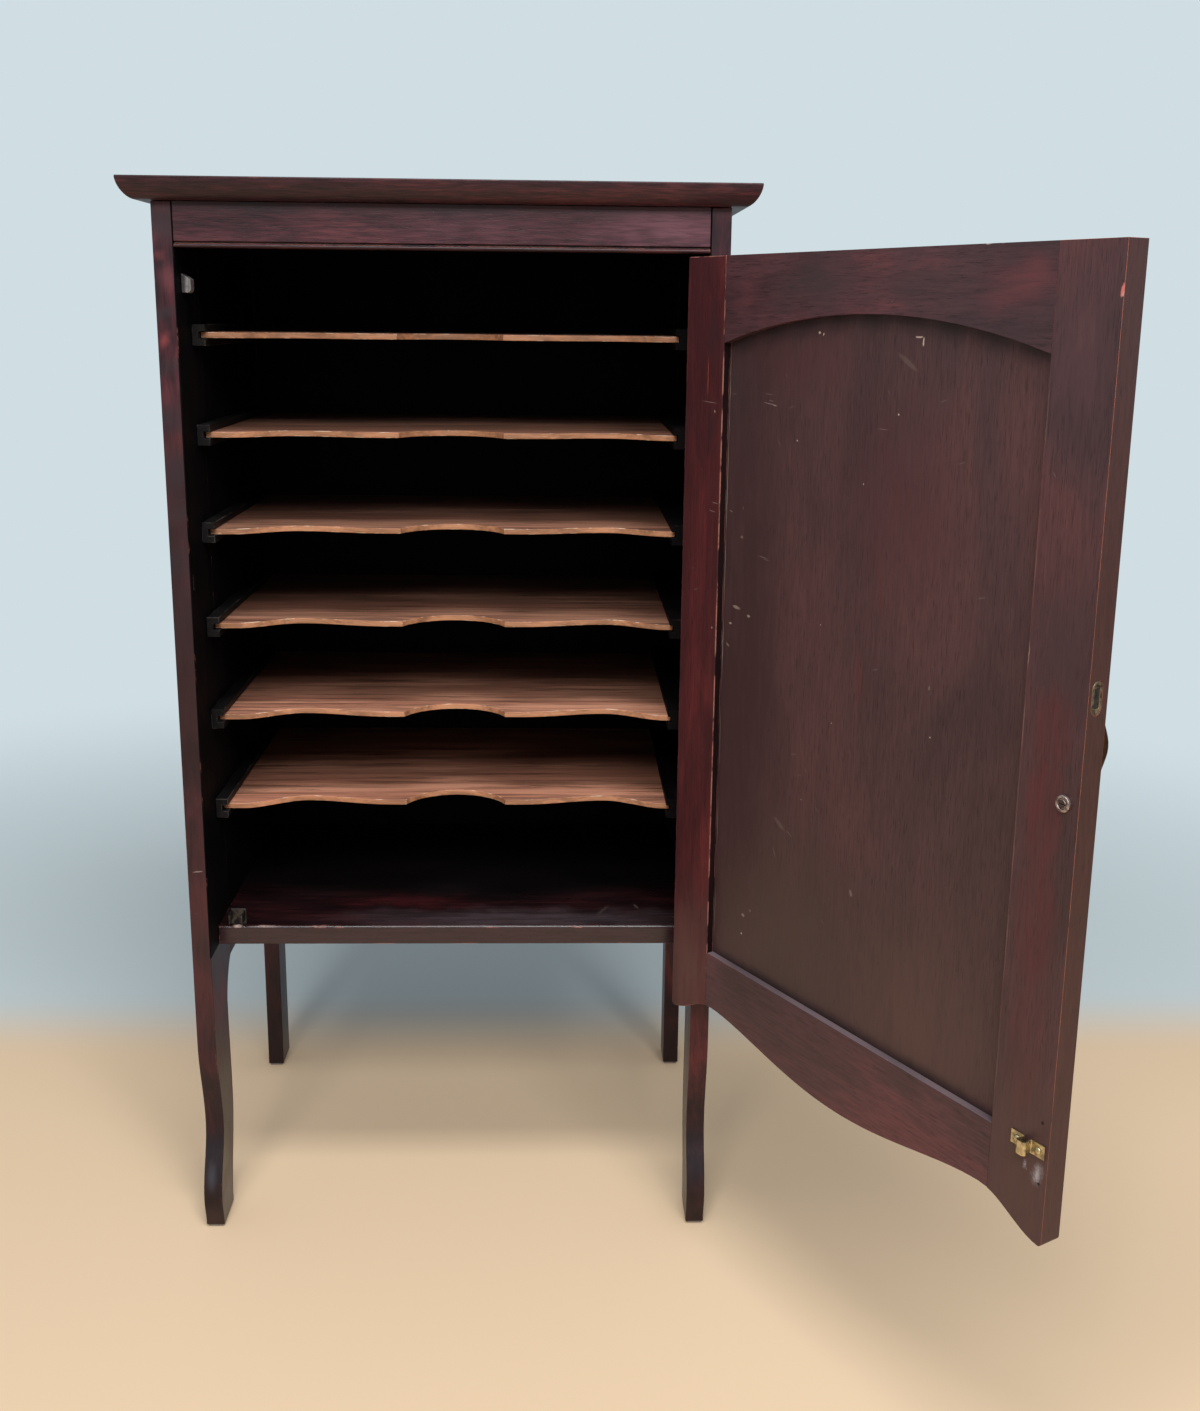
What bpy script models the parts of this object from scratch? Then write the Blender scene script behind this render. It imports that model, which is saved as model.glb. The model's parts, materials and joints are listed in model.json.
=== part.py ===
"""Sheet music cabinet: a carcass on swept legs, an arched frame-and-panel door and six sliding trays.

Metres, +Z up, the cabinet's front towards -Y. Sizes are laid out in the cabinet's own frame: x = 0
midway between the posts, y = 0 on the front faces of the posts, z = 0 on the floor. The door is laid
out closed, about its hinge pin, and stands open at DOOR_REST_DEG when the part is at rest.
"""
import math

import bmesh
import bpy
from mathutils import Vector

# Fits
SEAT = 0.0003                   # gap between pieces that are glued, screwed or laid together
RUN = 0.0004                    # running gap beside a piece that slides

# Carcass
CABINET_WIDTH = 0.5100          # over the posts
CABINET_DEPTH = 0.3794          # front posts to the back of the rear posts
CABINET_HEIGHT = 1.0272
TOP_THICK = 0.0191
TOP_OVOLO = 0.0126              # how far the moulding under the top's edge runs in
TOP_OVOLO_RISE = 0.0181
TOP_OVOLO_POWER = 1.65          # of its rounded outline, between a bevel at 1 and an ellipse at 2
TOP_SIDE_OVERHANG = 0.0247
TOP_FRONT_OVERHANG = 0.0202
TOP_BACK_OVERHANG = 0.0040
POST_WIDTH = 0.0184
FRONT_POST_DEPTH = 0.0850
REAR_POST_DEPTH = 0.0409
SIDE_THICK = 0.0120
SIDE_BOTTOM = 0.2637            # lower edge of the sides above the floor
BACK_THICK = 0.0080
BACK_INSET = 0.0100             # back panel behind the front faces of the rear posts
BOTTOM_TOP = 0.3149
BOTTOM_THICK = 0.0195
BOTTOM_SETBACK = 0.0351
BOTTOM_EASE = 0.0015            # worn front arris
GLIDE_THICK = 0.0025
GLIDE_INSET = 0.0020

# Front legs, seen from the side
LEG_SOLE_KICK = 0.0020
LEG_TOE_KICK = 0.0070
LEG_TOE_HEIGHT = 0.0340
LEG_KNEE_SETBACK = 0.0155
LEG_KNEE_HEIGHT = 0.1080
LEG_SWEEP_TOP = 0.2050
LEG_HEEL_BACK = 0.0428
LEG_KNEE_BACK = 0.0635
LEG_KNEE_BACK_HEIGHT = 0.1180
LEG_CALF_BACK = 0.0605
LEG_CALF_HEIGHT = 0.2224
LEG_FLARE_POWER = 1.5           # 2 would be a plain elliptical fillet

# Frieze
FRIEZE_HEIGHT = 0.0394          # underside of the top to the opening, with the bead
FRIEZE_THICK = 0.0180
BEAD_NOSE = 0.0032
BEAD_PROUD = 0.0006
QUIRK_HEIGHT = 0.0018
QUIRK_DEPTH = 0.0030

# Trays and runners
TRAY_COUNT = 6
HIGHEST_TRAY_DROP = 0.0761      # below the top of the opening
LOWEST_TRAY_RISE = 0.1187       # above the bottom board
TRAY_THICK = 0.0054
TRAY_FRONT = 0.0585             # front corners
TRAY_BACK_GAP = 0.0060
TRAY_HOLLOW_SETBACK = 0.0255
TRAY_HOLLOW_AT = 0.1500         # from the middle
TRAY_SHOULDER_AT = 0.2120
TRAY_LIP_SETBACK = 0.0120
TRAY_LIP_AT = 0.0660
NOTCH_HALF = 0.0500
NOTCH_DEPTH = 0.0325
RUNNER_FRONT = 0.0500
RUNNER_HEIGHT = 0.0195
RUNNER_WEB = 0.0058
RUNNER_LIP = 0.0063
DOOR_SIDE_LIP = 0.0040
RUNNER_HEADROOM = 0.0007        # above the tray in its groove
TRAY_DOOR_CLEAR = 0.0012        # between a drawn tray and the open door

# Door
DOOR_REST_DEG = 120.75
DOOR_THICK = 0.0193
DOOR_HEAD_GAP = 0.0040
DOOR_FREE_GAP = 0.0015
STILE_WIDTH = 0.0545
SKIRT_CORNER = 0.2548           # lower edge at the corners
SKIRT_CREST = 0.2760
SKIRT_CREST_AT = 0.0620         # from either edge
SKIRT_DIP = 0.2540              # lower edge at the middle
SKIRT_BIAS = 0.85
CORNER_ROUND = 0.0035
BOTTOM_RAIL_RISE = 0.0141       # above the bottom board's upper face
ARCH_DROP = 0.0727              # springing of the arch below the door's top
ARCH_RISE = 0.0250
PANEL_THICK = 0.0060
PANEL_FRONT = 0.0058            # behind the door's front face
PANEL_TONGUE = 0.0075

# Butt hinges
HINGE_LENGTH = 0.0630
UPPER_HINGE_DROP = 0.1497       # centre below the door's top
LOWER_HINGE_RISE = 0.1542       # centre above the door's corner
HINGE_KNUCKLES = 5
KNUCKLE_RADIUS = 0.0029
KNUCKLE_STANDOFF = 0.0035       # pin in front of the door's face
HINGE_PIN_RADIUS = 0.0012
LEAF_THICK = 0.0010
LEAF_DEPTH = 0.0155

# Lock, handle and catch, set in from the door's free edge
LOCK_DROP = 0.2970              # below the door's top
LOCK_INSET = 0.0110             # middle of the bolt behind the front face
PLATE_WIDTH = 0.0100
PLATE_HEIGHT = 0.0236
PLATE_THICK = 0.0010
BOLT_THICK = 0.0044
BOLT_HEIGHT = 0.0132
BOLT_LENGTH = 0.0125            # its tail stands clear of the key
BOLT_THROW = 0.0060
CASE_THICK = 0.0086
CASE_HEIGHT = 0.0160
CASE_LENGTH = 0.0280
CASE_WALL = 0.0008
KEYHOLE_WIDTH = 0.0045
KEYHOLE_HEIGHT = 0.0120
KEYHOLE_BACKSET = 0.0225
HANDLE_BACKSET = 0.0125
HANDLE_BELOW_LOCK = 0.0758      # lower fixing
HANDLE_SPAN = 0.0706
HANDLE_PROJECTION = 0.0190
HANDLE_ROD = 0.0022             # radius of the bow at its posts
HANDLE_SWELL = 0.0014           # added to that radius at the middle
HANDLE_BELL = 4                 # the higher, the narrower the swelling
HANDLE_POST = 0.0038
HANDLE_POST_RISE = 0.0096       # middle of the bow's ends in front of the door
HANDLE_FOOT = 0.0060
HANDLE_FOOT_THICK = 0.0020
STUD_RADIUS = 0.0022
STUD_END = 0.0010               # stud inside the nut
DOWEL_LENGTH = 0.0050
NUT_RADIUS = 0.0062
NUT_THICK = 0.0026
NUT_RIM = 0.0019
NUT_EASE = 0.0006
NUT_DISH = 0.0012               # depth of the groove round its boss
NUT_BOSS = 0.0033
NUT_SLOT = 0.0009
CATCH_BACKSET = 0.0185
CATCH_RISE = 0.0098             # above the bottom board's upper face
CATCH_HEIGHT = 0.0107
CATCH_STRIP = 0.0011
CATCH_LENGTH = 0.0315           # from end to end of its two flanges
CATCH_CROWN = 0.0087
CATCH_PROJECTION = 0.0100
CATCH_LEAN_DEG = 14.0           # the crown's walls lean out from its neck
CATCH_BASE_BEND = 0.0016        # bend radii at the middle of the strip
CATCH_CROWN_BEND = 0.0022
CATCH_SCREW_HEAD = 0.0028
CATCH_SCREW_DOME = 0.0015
CATCH_SCREW_SHANK = 0.0013
CATCH_SCREW_LENGTH = 0.0085

# Spring clip on the bottom board, and the stop on the left post
CLIP_BASE_LENGTH = 0.0190
CLIP_WIDTH = 0.0152
CLIP_STRIP = 0.0012
CLIP_EDGE_GAP = 0.0040          # behind the board's front edge
CLIP_HEIGHT = 0.0165
CLIP_ARM_LOW = 0.0062
CLIP_ARM = 0.0017
CLIP_MOUTH = 0.0102
CLIP_BOW = 0.0008
CLIP_REACH_GAP = 0.0042         # arms stop short of the closed door
STOP_DROP = 0.0215              # below the top of the opening
STOP_HEIGHT = 0.0172
STOP_WIDTH = 0.0085
STOP_DEPTH = 0.0130
STOP_SLOPE = 0.0052             # fall of its sloped top
STOP_CHAMFER = 0.0022

# Shared levels and faces worked out from the sizes
TOP_UNDER = CABINET_HEIGHT - TOP_THICK
OPENING_TOP = TOP_UNDER - FRIEZE_HEIGHT
POST_OUTER = CABINET_WIDTH / 2
POST_INNER = POST_OUTER - POST_WIDTH
REAR_FACE = CABINET_DEPTH - REAR_POST_DEPTH
BACK_FACE = REAR_FACE + BACK_INSET
BEAD_HEIGHT = BEAD_NOSE + QUIRK_HEIGHT
FRIEZE_BOTTOM = OPENING_TOP + BEAD_HEIGHT + SEAT
HINGE_GAP = 2 * LEAF_THICK + 2 * SEAT + RUN
DOOR_EDGE = POST_INNER - HINGE_GAP
DOOR_WIDTH = DOOR_EDGE + POST_INNER - DOOR_FREE_GAP
DOOR_TOP = OPENING_TOP - DOOR_HEAD_GAP
DOOR_MIDDLE = DOOR_WIDTH / 2
BOTTOM_RAIL_TOP = BOTTOM_TOP + BOTTOM_RAIL_RISE
LOCK_LEVEL = DOOR_TOP - LOCK_DROP
HANDLE_LOW = LOCK_LEVEL - HANDLE_BELOW_LOCK
CATCH_LOW = BOTTOM_TOP + CATCH_RISE
PIN_X = POST_INNER - HINGE_GAP / 2
PIN_Y = -KNUCKLE_STANDOFF
HINGE_LEVELS = {"upper": DOOR_TOP - UPPER_HINGE_DROP, "lower": SKIRT_CORNER + LOWER_HINGE_RISE}
ARCH_HALF = DOOR_MIDDLE - STILE_WIDTH
ARCH_RADIUS = (ARCH_HALF ** 2 + ARCH_RISE ** 2) / (2 * ARCH_RISE)
ARCH_CENTRE = DOOR_TOP - ARCH_DROP + ARCH_RISE - ARCH_RADIUS
HIGHEST_TRAY = OPENING_TOP - HIGHEST_TRAY_DROP
TRAY_PITCH = (HIGHEST_TRAY - BOTTOM_TOP - LOWEST_TRAY_RISE) / (TRAY_COUNT - 1)
TRAY_BACK = BACK_FACE - TRAY_BACK_GAP
TRAY_LEFT = POST_INNER - SEAT - RUNNER_WEB - RUN

ROUND = 16                      # sides of a small round piece
CURVE = 10                      # steps along one sweep of a shaped edge
BEND = 5                        # steps round a bend in a metal strip


def open_corner(angle_deg):
    """Where the door's inner arris beside the hinge stands with the door open, in plan."""
    angle = math.radians(angle_deg)
    across = DOOR_EDGE - PIN_X
    along = DOOR_THICK - PIN_Y
    return (PIN_X + across * math.cos(angle) - along * math.sin(angle),
            PIN_Y + across * math.sin(angle) + along * math.cos(angle))


TRAY_RIGHT = open_corner(DOOR_REST_DEG)[0] - TRAY_DOOR_CLEAR


def make_material(name, colour, roughness, metallic=0.0):
    material = bpy.data.materials.new(name)
    material.use_nodes = True
    shader = material.node_tree.nodes["Principled BSDF"]
    shader.inputs["Base Color"].default_value = (*colour, 1.0)
    shader.inputs["Roughness"].default_value = roughness
    shader.inputs["Metallic"].default_value = metallic
    return material


def ease(start, end, share):
    return start + (end - start) * (1 - math.cos(math.pi * share)) / 2


def sweep(start, end, steps=CURVE):
    """Points of a smooth S from start to end, both given as (value, height), without the first."""
    out = []
    for i in range(1, steps + 1):
        share = i / steps
        out.append((ease(start[0], end[0], share), start[1] + (end[1] - start[1]) * share))
    return out


def circle(radius, sides=ROUND, centre=(0.0, 0.0)):
    out = []
    for i in range(sides):
        turn = 2 * math.pi * i / sides
        out.append((centre[0] + radius * math.cos(turn), centre[1] + radius * math.sin(turn)))
    return out


def obround(width, height, centre=(0.0, 0.0)):
    """A slot outline with round ends, upright."""
    radius = width / 2
    straight = height / 2 - radius
    out = []
    for sign in (1, -1):
        for i in range(ROUND // 2 + 1):
            turn = math.pi * i / (ROUND // 2)
            out.append((centre[0] + sign * radius * math.cos(turn),
                        centre[1] + sign * (straight + radius * math.sin(turn))))
    return out


def box_outline(low, high):
    return [(low[0], low[1]), (high[0], low[1]), (high[0], high[1]), (low[0], high[1])]


def bent_strip(start, moves, thick):
    """Outline of a strip whose middle line runs along (straight length, bend radius, bend in degrees)."""
    place, heading = Vector(start), 0.0
    left, right = [], []

    def mark():
        side = Vector((-math.sin(heading), math.cos(heading))) * thick / 2
        left.append(tuple(place + side))
        right.append(tuple(place - side))

    mark()
    for length, radius, bend in moves:
        place += length * Vector((math.cos(heading), math.sin(heading)))
        mark()
        turn = math.radians(bend) / BEND
        for _ in range(BEND if bend else 0):
            middle = heading + turn / 2
            place += 2 * radius * abs(math.sin(turn / 2)) * Vector((math.cos(middle), math.sin(middle)))
            heading += turn
            mark()
    return left + right[::-1]


class Builder:
    """Collects closed shells and turns them into one named object."""

    def __init__(self):
        self.mesh = bmesh.new()

    def prism(self, outline, place, start, end):
        """Extrude an outline. place(a, b, c) gives the point for outline (a, b) at distance c."""
        low = [self.mesh.verts.new(place(a, b, start)) for a, b in outline]
        high = [self.mesh.verts.new(place(a, b, end)) for a, b in outline]
        count = len(outline)
        self.mesh.faces.new(low)
        self.mesh.faces.new(high)
        for i in range(count):
            j = (i + 1) % count
            self.mesh.faces.new((low[i], low[j], high[j], high[i]))
        return self

    def rings(self, rings):
        """Skin closed rings of points one after another and cap both ends."""
        made = [[self.mesh.verts.new(p) for p in ring] for ring in rings]
        self.mesh.faces.new(made[0])
        self.mesh.faces.new(made[-1])
        for near, far in zip(made, made[1:]):
            count = len(near)
            for i in range(count):
                j = (i + 1) % count
                self.mesh.faces.new((near[i], near[j], far[j], far[i]))
        return self

    def done(self, name, parent, material=None, at=(0.0, 0.0, 0.0)):
        """Finish the object, its origin at the point given in its parent's frame."""
        bmesh.ops.translate(self.mesh, verts=self.mesh.verts, vec=-Vector(at))
        bmesh.ops.recalc_face_normals(self.mesh, faces=self.mesh.faces)
        mesh = bpy.data.meshes.new(name)
        self.mesh.to_mesh(mesh)
        self.mesh.free()
        made = bpy.data.objects.new(name, mesh)
        made.location = at
        made.parent = parent
        if material:
            mesh.materials.append(material)
        bpy.context.scene.collection.objects.link(made)
        return made


def combine(target, tool, operation="DIFFERENCE"):
    modifier = target.modifiers.new(tool.name, "BOOLEAN")
    modifier.operation = operation
    modifier.solver = "EXACT"
    modifier.object = tool
    tool.hide_render = True
    tool.display_type = "WIRE"


def make_empty(name, parent, at=(0.0, 0.0, 0.0)):
    made = bpy.data.objects.new(name, None)
    made.location = at
    made.parent = parent
    bpy.context.scene.collection.objects.link(made)
    return made


def along_x(y, z, x):
    return (x, y, z)


def along_y(x, z, y):
    return (x, y, z)


def along_z(x, y, z):
    return (x, y, z)


def door_face(across, z, depth):
    """A point of the door for a distance from its hinge edge, a level and a depth behind its front."""
    return (DOOR_EDGE - across - PIN_X, depth - PIN_Y, z)


def door_edge(depth, z, across):
    return door_face(across, z, depth)


def door_plan(across, depth, z):
    return door_face(across, z, depth)


def turned(profile, place):
    """Rings for a turned piece: profile is (radius, distance), place as in Builder.prism."""
    return [[place(a, b, distance) for a, b in circle(radius)] for radius, distance in profile]


for leftover in list(bpy.data.objects):
    bpy.data.objects.remove(leftover, do_unlink=True)

MAHOGANY = make_material("mahogany", (0.085, 0.030, 0.026), 0.38)
INNER_WOOD = make_material("inner_wood", (0.030, 0.018, 0.016), 0.55)
TRAY_WOOD = make_material("tray_wood", (0.36, 0.19, 0.10), 0.50)
BRASS = make_material("brass", (0.62, 0.45, 0.20), 0.30, 1.0)
IRON = make_material("iron", (0.10, 0.095, 0.09), 0.50, 1.0)
FELT = make_material("felt", (0.25, 0.24, 0.22), 0.90)

ROOT = make_empty("cabinet_root", None)
DOOR = make_empty("door_pivot", ROOT, (PIN_X, PIN_Y, 0.0))
DOOR.rotation_euler = (0.0, 0.0, math.radians(DOOR_REST_DEG))


# Carcass
def make_top():
    """A board with a rounded moulding worked under its front and side edges."""
    rings = []
    for i in range(CURVE + 1):
        turn = math.pi / 2 * i / CURVE
        inset = TOP_OVOLO * (1 - math.sin(turn) ** (2 / TOP_OVOLO_POWER))
        level = TOP_UNDER + TOP_OVOLO_RISE * (1 - max(math.cos(turn), 0.0) ** (2 / TOP_OVOLO_POWER))
        rings.append((inset, level))
    rings.append((0.0, CABINET_HEIGHT))
    skins = []
    for inset, level in rings:
        half = POST_OUTER + TOP_SIDE_OVERHANG - inset
        outline = box_outline((-half, -TOP_FRONT_OVERHANG + inset),
                              (half, CABINET_DEPTH + TOP_BACK_OVERHANG))
        skins.append([(x, y, level) for x, y in outline])
    Builder().rings(skins).done("top_board", ROOT, MAHOGANY)


def front_post_outline():
    """Side outline of a front post: straight above, swept back at the knee and kicked out at the toe."""
    sole = (-LEG_SOLE_KICK, GLIDE_THICK + SEAT)
    toe = (-LEG_TOE_KICK, LEG_TOE_HEIGHT)
    knee = (LEG_KNEE_SETBACK, LEG_KNEE_HEIGHT)
    top = (0.0, LEG_SWEEP_TOP)
    outline = [sole, *sweep(sole, toe, CURVE // 2), *sweep(toe, knee), *sweep(knee, top)]
    outline += [(0.0, TOP_UNDER - SEAT), (FRONT_POST_DEPTH, TOP_UNDER - SEAT)]
    wide = FRONT_POST_DEPTH - LEG_CALF_BACK
    tall = SIDE_BOTTOM - LEG_CALF_HEIGHT
    for i in range(CURVE + 1):
        share = math.sin(math.pi / 2 * i / CURVE)
        rise = max(0.0, 1 - share ** LEG_FLARE_POWER) ** (1 / LEG_FLARE_POWER)
        outline.append((FRONT_POST_DEPTH - wide * share, LEG_CALF_HEIGHT + tall * rise))
    calf = (LEG_CALF_BACK, LEG_CALF_HEIGHT)
    back = (LEG_KNEE_BACK, LEG_KNEE_BACK_HEIGHT)
    heel = (LEG_HEEL_BACK, GLIDE_THICK + SEAT)
    outline += sweep(calf, back, CURVE // 2) + sweep(back, heel)
    return outline


def make_posts():
    made = {}
    for side, sign in (("left", -1), ("right", 1)):
        span = (sign * POST_OUTER, sign * POST_INNER)
        front = Builder().prism(front_post_outline(), along_x, *span)
        made[side] = front.done(f"front_post_{side}", ROOT, MAHOGANY)
        rear = box_outline((REAR_FACE, GLIDE_THICK + SEAT), (CABINET_DEPTH, TOP_UNDER - SEAT))
        Builder().prism(rear, along_x, *span).done(f"rear_post_{side}", ROOT, MAHOGANY)
        panel = box_outline((FRONT_POST_DEPTH + SEAT, SIDE_BOTTOM),
                            (REAR_FACE - SEAT, TOP_UNDER - SEAT))
        span = (sign * (POST_INNER + SIDE_THICK), sign * POST_INNER)
        Builder().prism(panel, along_x, *span).done(f"side_panel_{side}", ROOT, MAHOGANY)
    mortise = lock_section(BOLT_THICK, BOLT_HEIGHT, 2 * RUN)
    cutter = Builder().prism(mortise, along_x, -POST_INNER - BOLT_THROW, -POST_INNER + BOLT_THROW)
    combine(made["left"], cutter.done("bolt_mortise_cutter", ROOT))


def make_glides():
    soles = {"front": (-LEG_SOLE_KICK, LEG_HEEL_BACK), "rear": (REAR_FACE, CABINET_DEPTH)}
    for side, sign in (("left", -1), ("right", 1)):
        xs = sorted((sign * (POST_OUTER - GLIDE_INSET), sign * (POST_INNER + GLIDE_INSET)))
        for end, (near, far) in soles.items():
            outline = box_outline((xs[0], near + GLIDE_INSET), (xs[1], far - GLIDE_INSET))
            pad = Builder().prism(outline, along_z, 0.0, GLIDE_THICK)
            pad.done(f"foot_glide_{end}_{side}", ROOT, FELT)


def make_boards():
    inner = POST_INNER - SEAT
    back = box_outline((-inner, SIDE_BOTTOM), (inner, TOP_UNDER - SEAT))
    Builder().prism(back, along_y, BACK_FACE, BACK_FACE + BACK_THICK).done("back_panel", ROOT, INNER_WOOD)
    low = BOTTOM_TOP - BOTTOM_THICK
    board = [(BOTTOM_SETBACK, low), (BACK_FACE - SEAT, low), (BACK_FACE - SEAT, BOTTOM_TOP),
             (BOTTOM_SETBACK + BOTTOM_EASE, BOTTOM_TOP), (BOTTOM_SETBACK, BOTTOM_TOP - BOTTOM_EASE)]
    Builder().prism(board, along_x, -inner, inner).done("bottom_board", ROOT, MAHOGANY)
    rail = box_outline((0.0, FRIEZE_BOTTOM), (FRIEZE_THICK, TOP_UNDER - SEAT))
    Builder().prism(rail, along_x, -inner, inner).done("frieze_rail", ROOT, MAHOGANY)
    radius = BEAD_NOSE / 2
    bead = []
    for i in range(CURVE + 1):
        turn = math.pi * i / CURVE
        bead.append((radius - BEAD_PROUD - radius * math.sin(turn),
                     OPENING_TOP + radius - radius * math.cos(turn)))
    bead += [(QUIRK_DEPTH, OPENING_TOP + BEAD_NOSE), (QUIRK_DEPTH, OPENING_TOP + BEAD_HEIGHT),
             (FRIEZE_THICK, OPENING_TOP + BEAD_HEIGHT), (FRIEZE_THICK, OPENING_TOP)]
    Builder().prism(bead, along_x, -inner, inner).done("frieze_bead", ROOT, MAHOGANY)


def tray_front(x):
    """Set-back of a tray's shaped front edge at a distance from its middle."""
    away = abs(x)
    lip = TRAY_FRONT + TRAY_LIP_SETBACK
    hollow = TRAY_FRONT + TRAY_HOLLOW_SETBACK
    if away < NOTCH_HALF:
        radius = (NOTCH_HALF ** 2 + NOTCH_DEPTH ** 2) / (2 * NOTCH_DEPTH)
        return lip + math.sqrt(radius ** 2 - away ** 2) - (radius - NOTCH_DEPTH)
    if away <= TRAY_LIP_AT:
        return lip
    if away <= TRAY_HOLLOW_AT:
        return ease(lip, hollow, (away - TRAY_LIP_AT) / (TRAY_HOLLOW_AT - TRAY_LIP_AT))
    if away <= TRAY_SHOULDER_AT:
        return ease(hollow, TRAY_FRONT, (away - TRAY_HOLLOW_AT) / (TRAY_SHOULDER_AT - TRAY_HOLLOW_AT))
    return TRAY_FRONT


def tray_outline():
    half = [NOTCH_HALF, TRAY_LIP_AT]
    for i in range(1, CURVE):
        half.append(TRAY_LIP_AT + (TRAY_HOLLOW_AT - TRAY_LIP_AT) * i / CURVE)
    for i in range(CURVE + 1):
        half.append(TRAY_HOLLOW_AT + (TRAY_SHOULDER_AT - TRAY_HOLLOW_AT) * i / CURVE)
    notch = []
    for i in range(1, 2 * CURVE):
        notch.append(-NOTCH_HALF * math.cos(math.pi * i / (2 * CURVE)))
    left = [-x for x in reversed(half) if x < TRAY_LEFT]
    right = [x for x in half if x < TRAY_RIGHT]
    across = [-TRAY_LEFT, *left, *notch, *right, TRAY_RIGHT]
    return [(x, tray_front(x)) for x in across] + [(TRAY_RIGHT, TRAY_BACK), (-TRAY_LEFT, TRAY_BACK)]


def runner_outline(wall, groove, lip_end, level):
    """Section of a grooved runner from the cabinet's side to the ends of its two lips."""
    low = level - RUNNER_HEIGHT / 2
    high = level + RUNNER_HEIGHT / 2
    floor = level - TRAY_THICK / 2 - SEAT
    roof = level + TRAY_THICK / 2 + RUNNER_HEADROOM
    return [(wall, low), (lip_end, low), (lip_end, floor), (groove, floor),
            (groove, roof), (lip_end, roof), (lip_end, high), (wall, high)]


def make_trays():
    wall = POST_INNER - SEAT
    for i in range(TRAY_COUNT):
        level = HIGHEST_TRAY - i * TRAY_PITCH
        low, high = level - TRAY_THICK / 2, level + TRAY_THICK / 2
        tray = Builder().prism(tray_outline(), along_z, low, high)
        tray.done(f"tray_{i + 1}", ROOT, TRAY_WOOD, (0.0, TRAY_FRONT, level))
        groove = -TRAY_LEFT - RUN
        left = runner_outline(-wall, groove, groove + RUNNER_LIP, level)
        groove = TRAY_RIGHT + RUN
        right = runner_outline(wall, groove, groove - DOOR_SIDE_LIP, level)
        for side, outline in (("left", left), ("right", right)):
            runner = Builder().prism(outline, along_y, RUNNER_FRONT, BACK_FACE - SEAT)
            runner.done(f"runner_{side}_{i + 1}", ROOT, INNER_WOOD)


def make_stop():
    """Block with a sloped top on the left post, which the closed door rests against."""
    wall = -POST_INNER + SEAT
    near = DOOR_THICK + SEAT
    end = wall + STOP_WIDTH
    high = OPENING_TOP - STOP_DROP
    low = high - STOP_HEIGHT
    outline = [(wall, low), (end - STOP_CHAMFER, low), (end, low + STOP_CHAMFER),
               (end, high - STOP_SLOPE), (wall, high)]
    block = Builder().prism(outline, along_y, near, near + STOP_DEPTH)
    block.done("door_stop_block", ROOT, INNER_WOOD)


def make_clip():
    """Two-armed spring clip on the bottom board that grips the crown of the door's catch."""
    middle = DOOR_EDGE - (DOOR_WIDTH - CATCH_BACKSET)
    near = BOTTOM_SETBACK + CLIP_EDGE_GAP
    base = BOTTOM_TOP + SEAT
    high = base + CLIP_HEIGHT
    angle = [(near, base), (near + CLIP_BASE_LENGTH, base), (near + CLIP_BASE_LENGTH, base + CLIP_STRIP),
             (near + 2 * CLIP_STRIP, base + CLIP_STRIP), (near + 2 * CLIP_STRIP, high), (near, high)]
    half = CLIP_WIDTH / 2
    clip = Builder().prism(angle, along_x, middle - half, middle + half)
    clip = clip.done("catch_clip", ROOT, IRON)
    tip = DOOR_THICK + CLIP_REACH_GAP
    root = near + CLIP_STRIP
    arms = Builder()
    for sign in (-1, 1):
        inner, outer = [], []
        for i in range(CURVE + 1):
            share = i / CURVE
            y = tip + (root - tip) * share
            x = CLIP_MOUTH / 2 + CLIP_BOW * math.sin(math.pi * share)
            inner.append((middle + sign * x, y))
            outer.append((middle + sign * (x + CLIP_ARM), y))
        arms.prism(inner + outer[::-1], along_z, base + CLIP_ARM_LOW, high - CLIP_STRIP)
    combine(clip, arms.done("clip_arm_tool", ROOT), "UNION")


# Door, laid out closed about its pin
def skirt(across):
    """Level of the door's serpentine lower edge."""
    away = min(across, DOOR_WIDTH - across)
    if away < SKIRT_CREST_AT:
        return ease(SKIRT_CORNER, SKIRT_CREST, away / SKIRT_CREST_AT)
    share = (away - SKIRT_CREST_AT) / (DOOR_MIDDLE - SKIRT_CREST_AT)
    return ease(SKIRT_CREST, SKIRT_DIP, share ** SKIRT_BIAS)


def arch(across, grown=0.0):
    return ARCH_CENTRE + math.sqrt((ARCH_RADIUS + grown) ** 2 - (across - DOOR_MIDDLE) ** 2)


def spaced(start, end, steps):
    return [start + (end - start) * i / steps for i in range(steps + 1)]


def stile_outline():
    """The hinge stile, its lower outer corner rounded."""
    outline = []
    for i in range(CURVE // 2 + 1):
        turn = math.pi / 2 * i / (CURVE // 2)
        across = CORNER_ROUND * (1 - math.sin(turn))
        outline.append((across, skirt(across) + CORNER_ROUND * (1 - math.cos(turn))))
    outline = outline[::-1]
    outline += [(u, skirt(u)) for u in spaced(CORNER_ROUND, STILE_WIDTH, CURVE)[1:]]
    return outline + [(STILE_WIDTH, DOOR_TOP), (0.0, DOOR_TOP)]


def panel_outline(grown):
    near = STILE_WIDTH - grown
    far = DOOR_WIDTH - near
    low = BOTTOM_RAIL_TOP - grown
    return [(near, low), (far, low)] + [(u, arch(u, grown)) for u in spaced(far, near, 2 * CURVE)]


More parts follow.
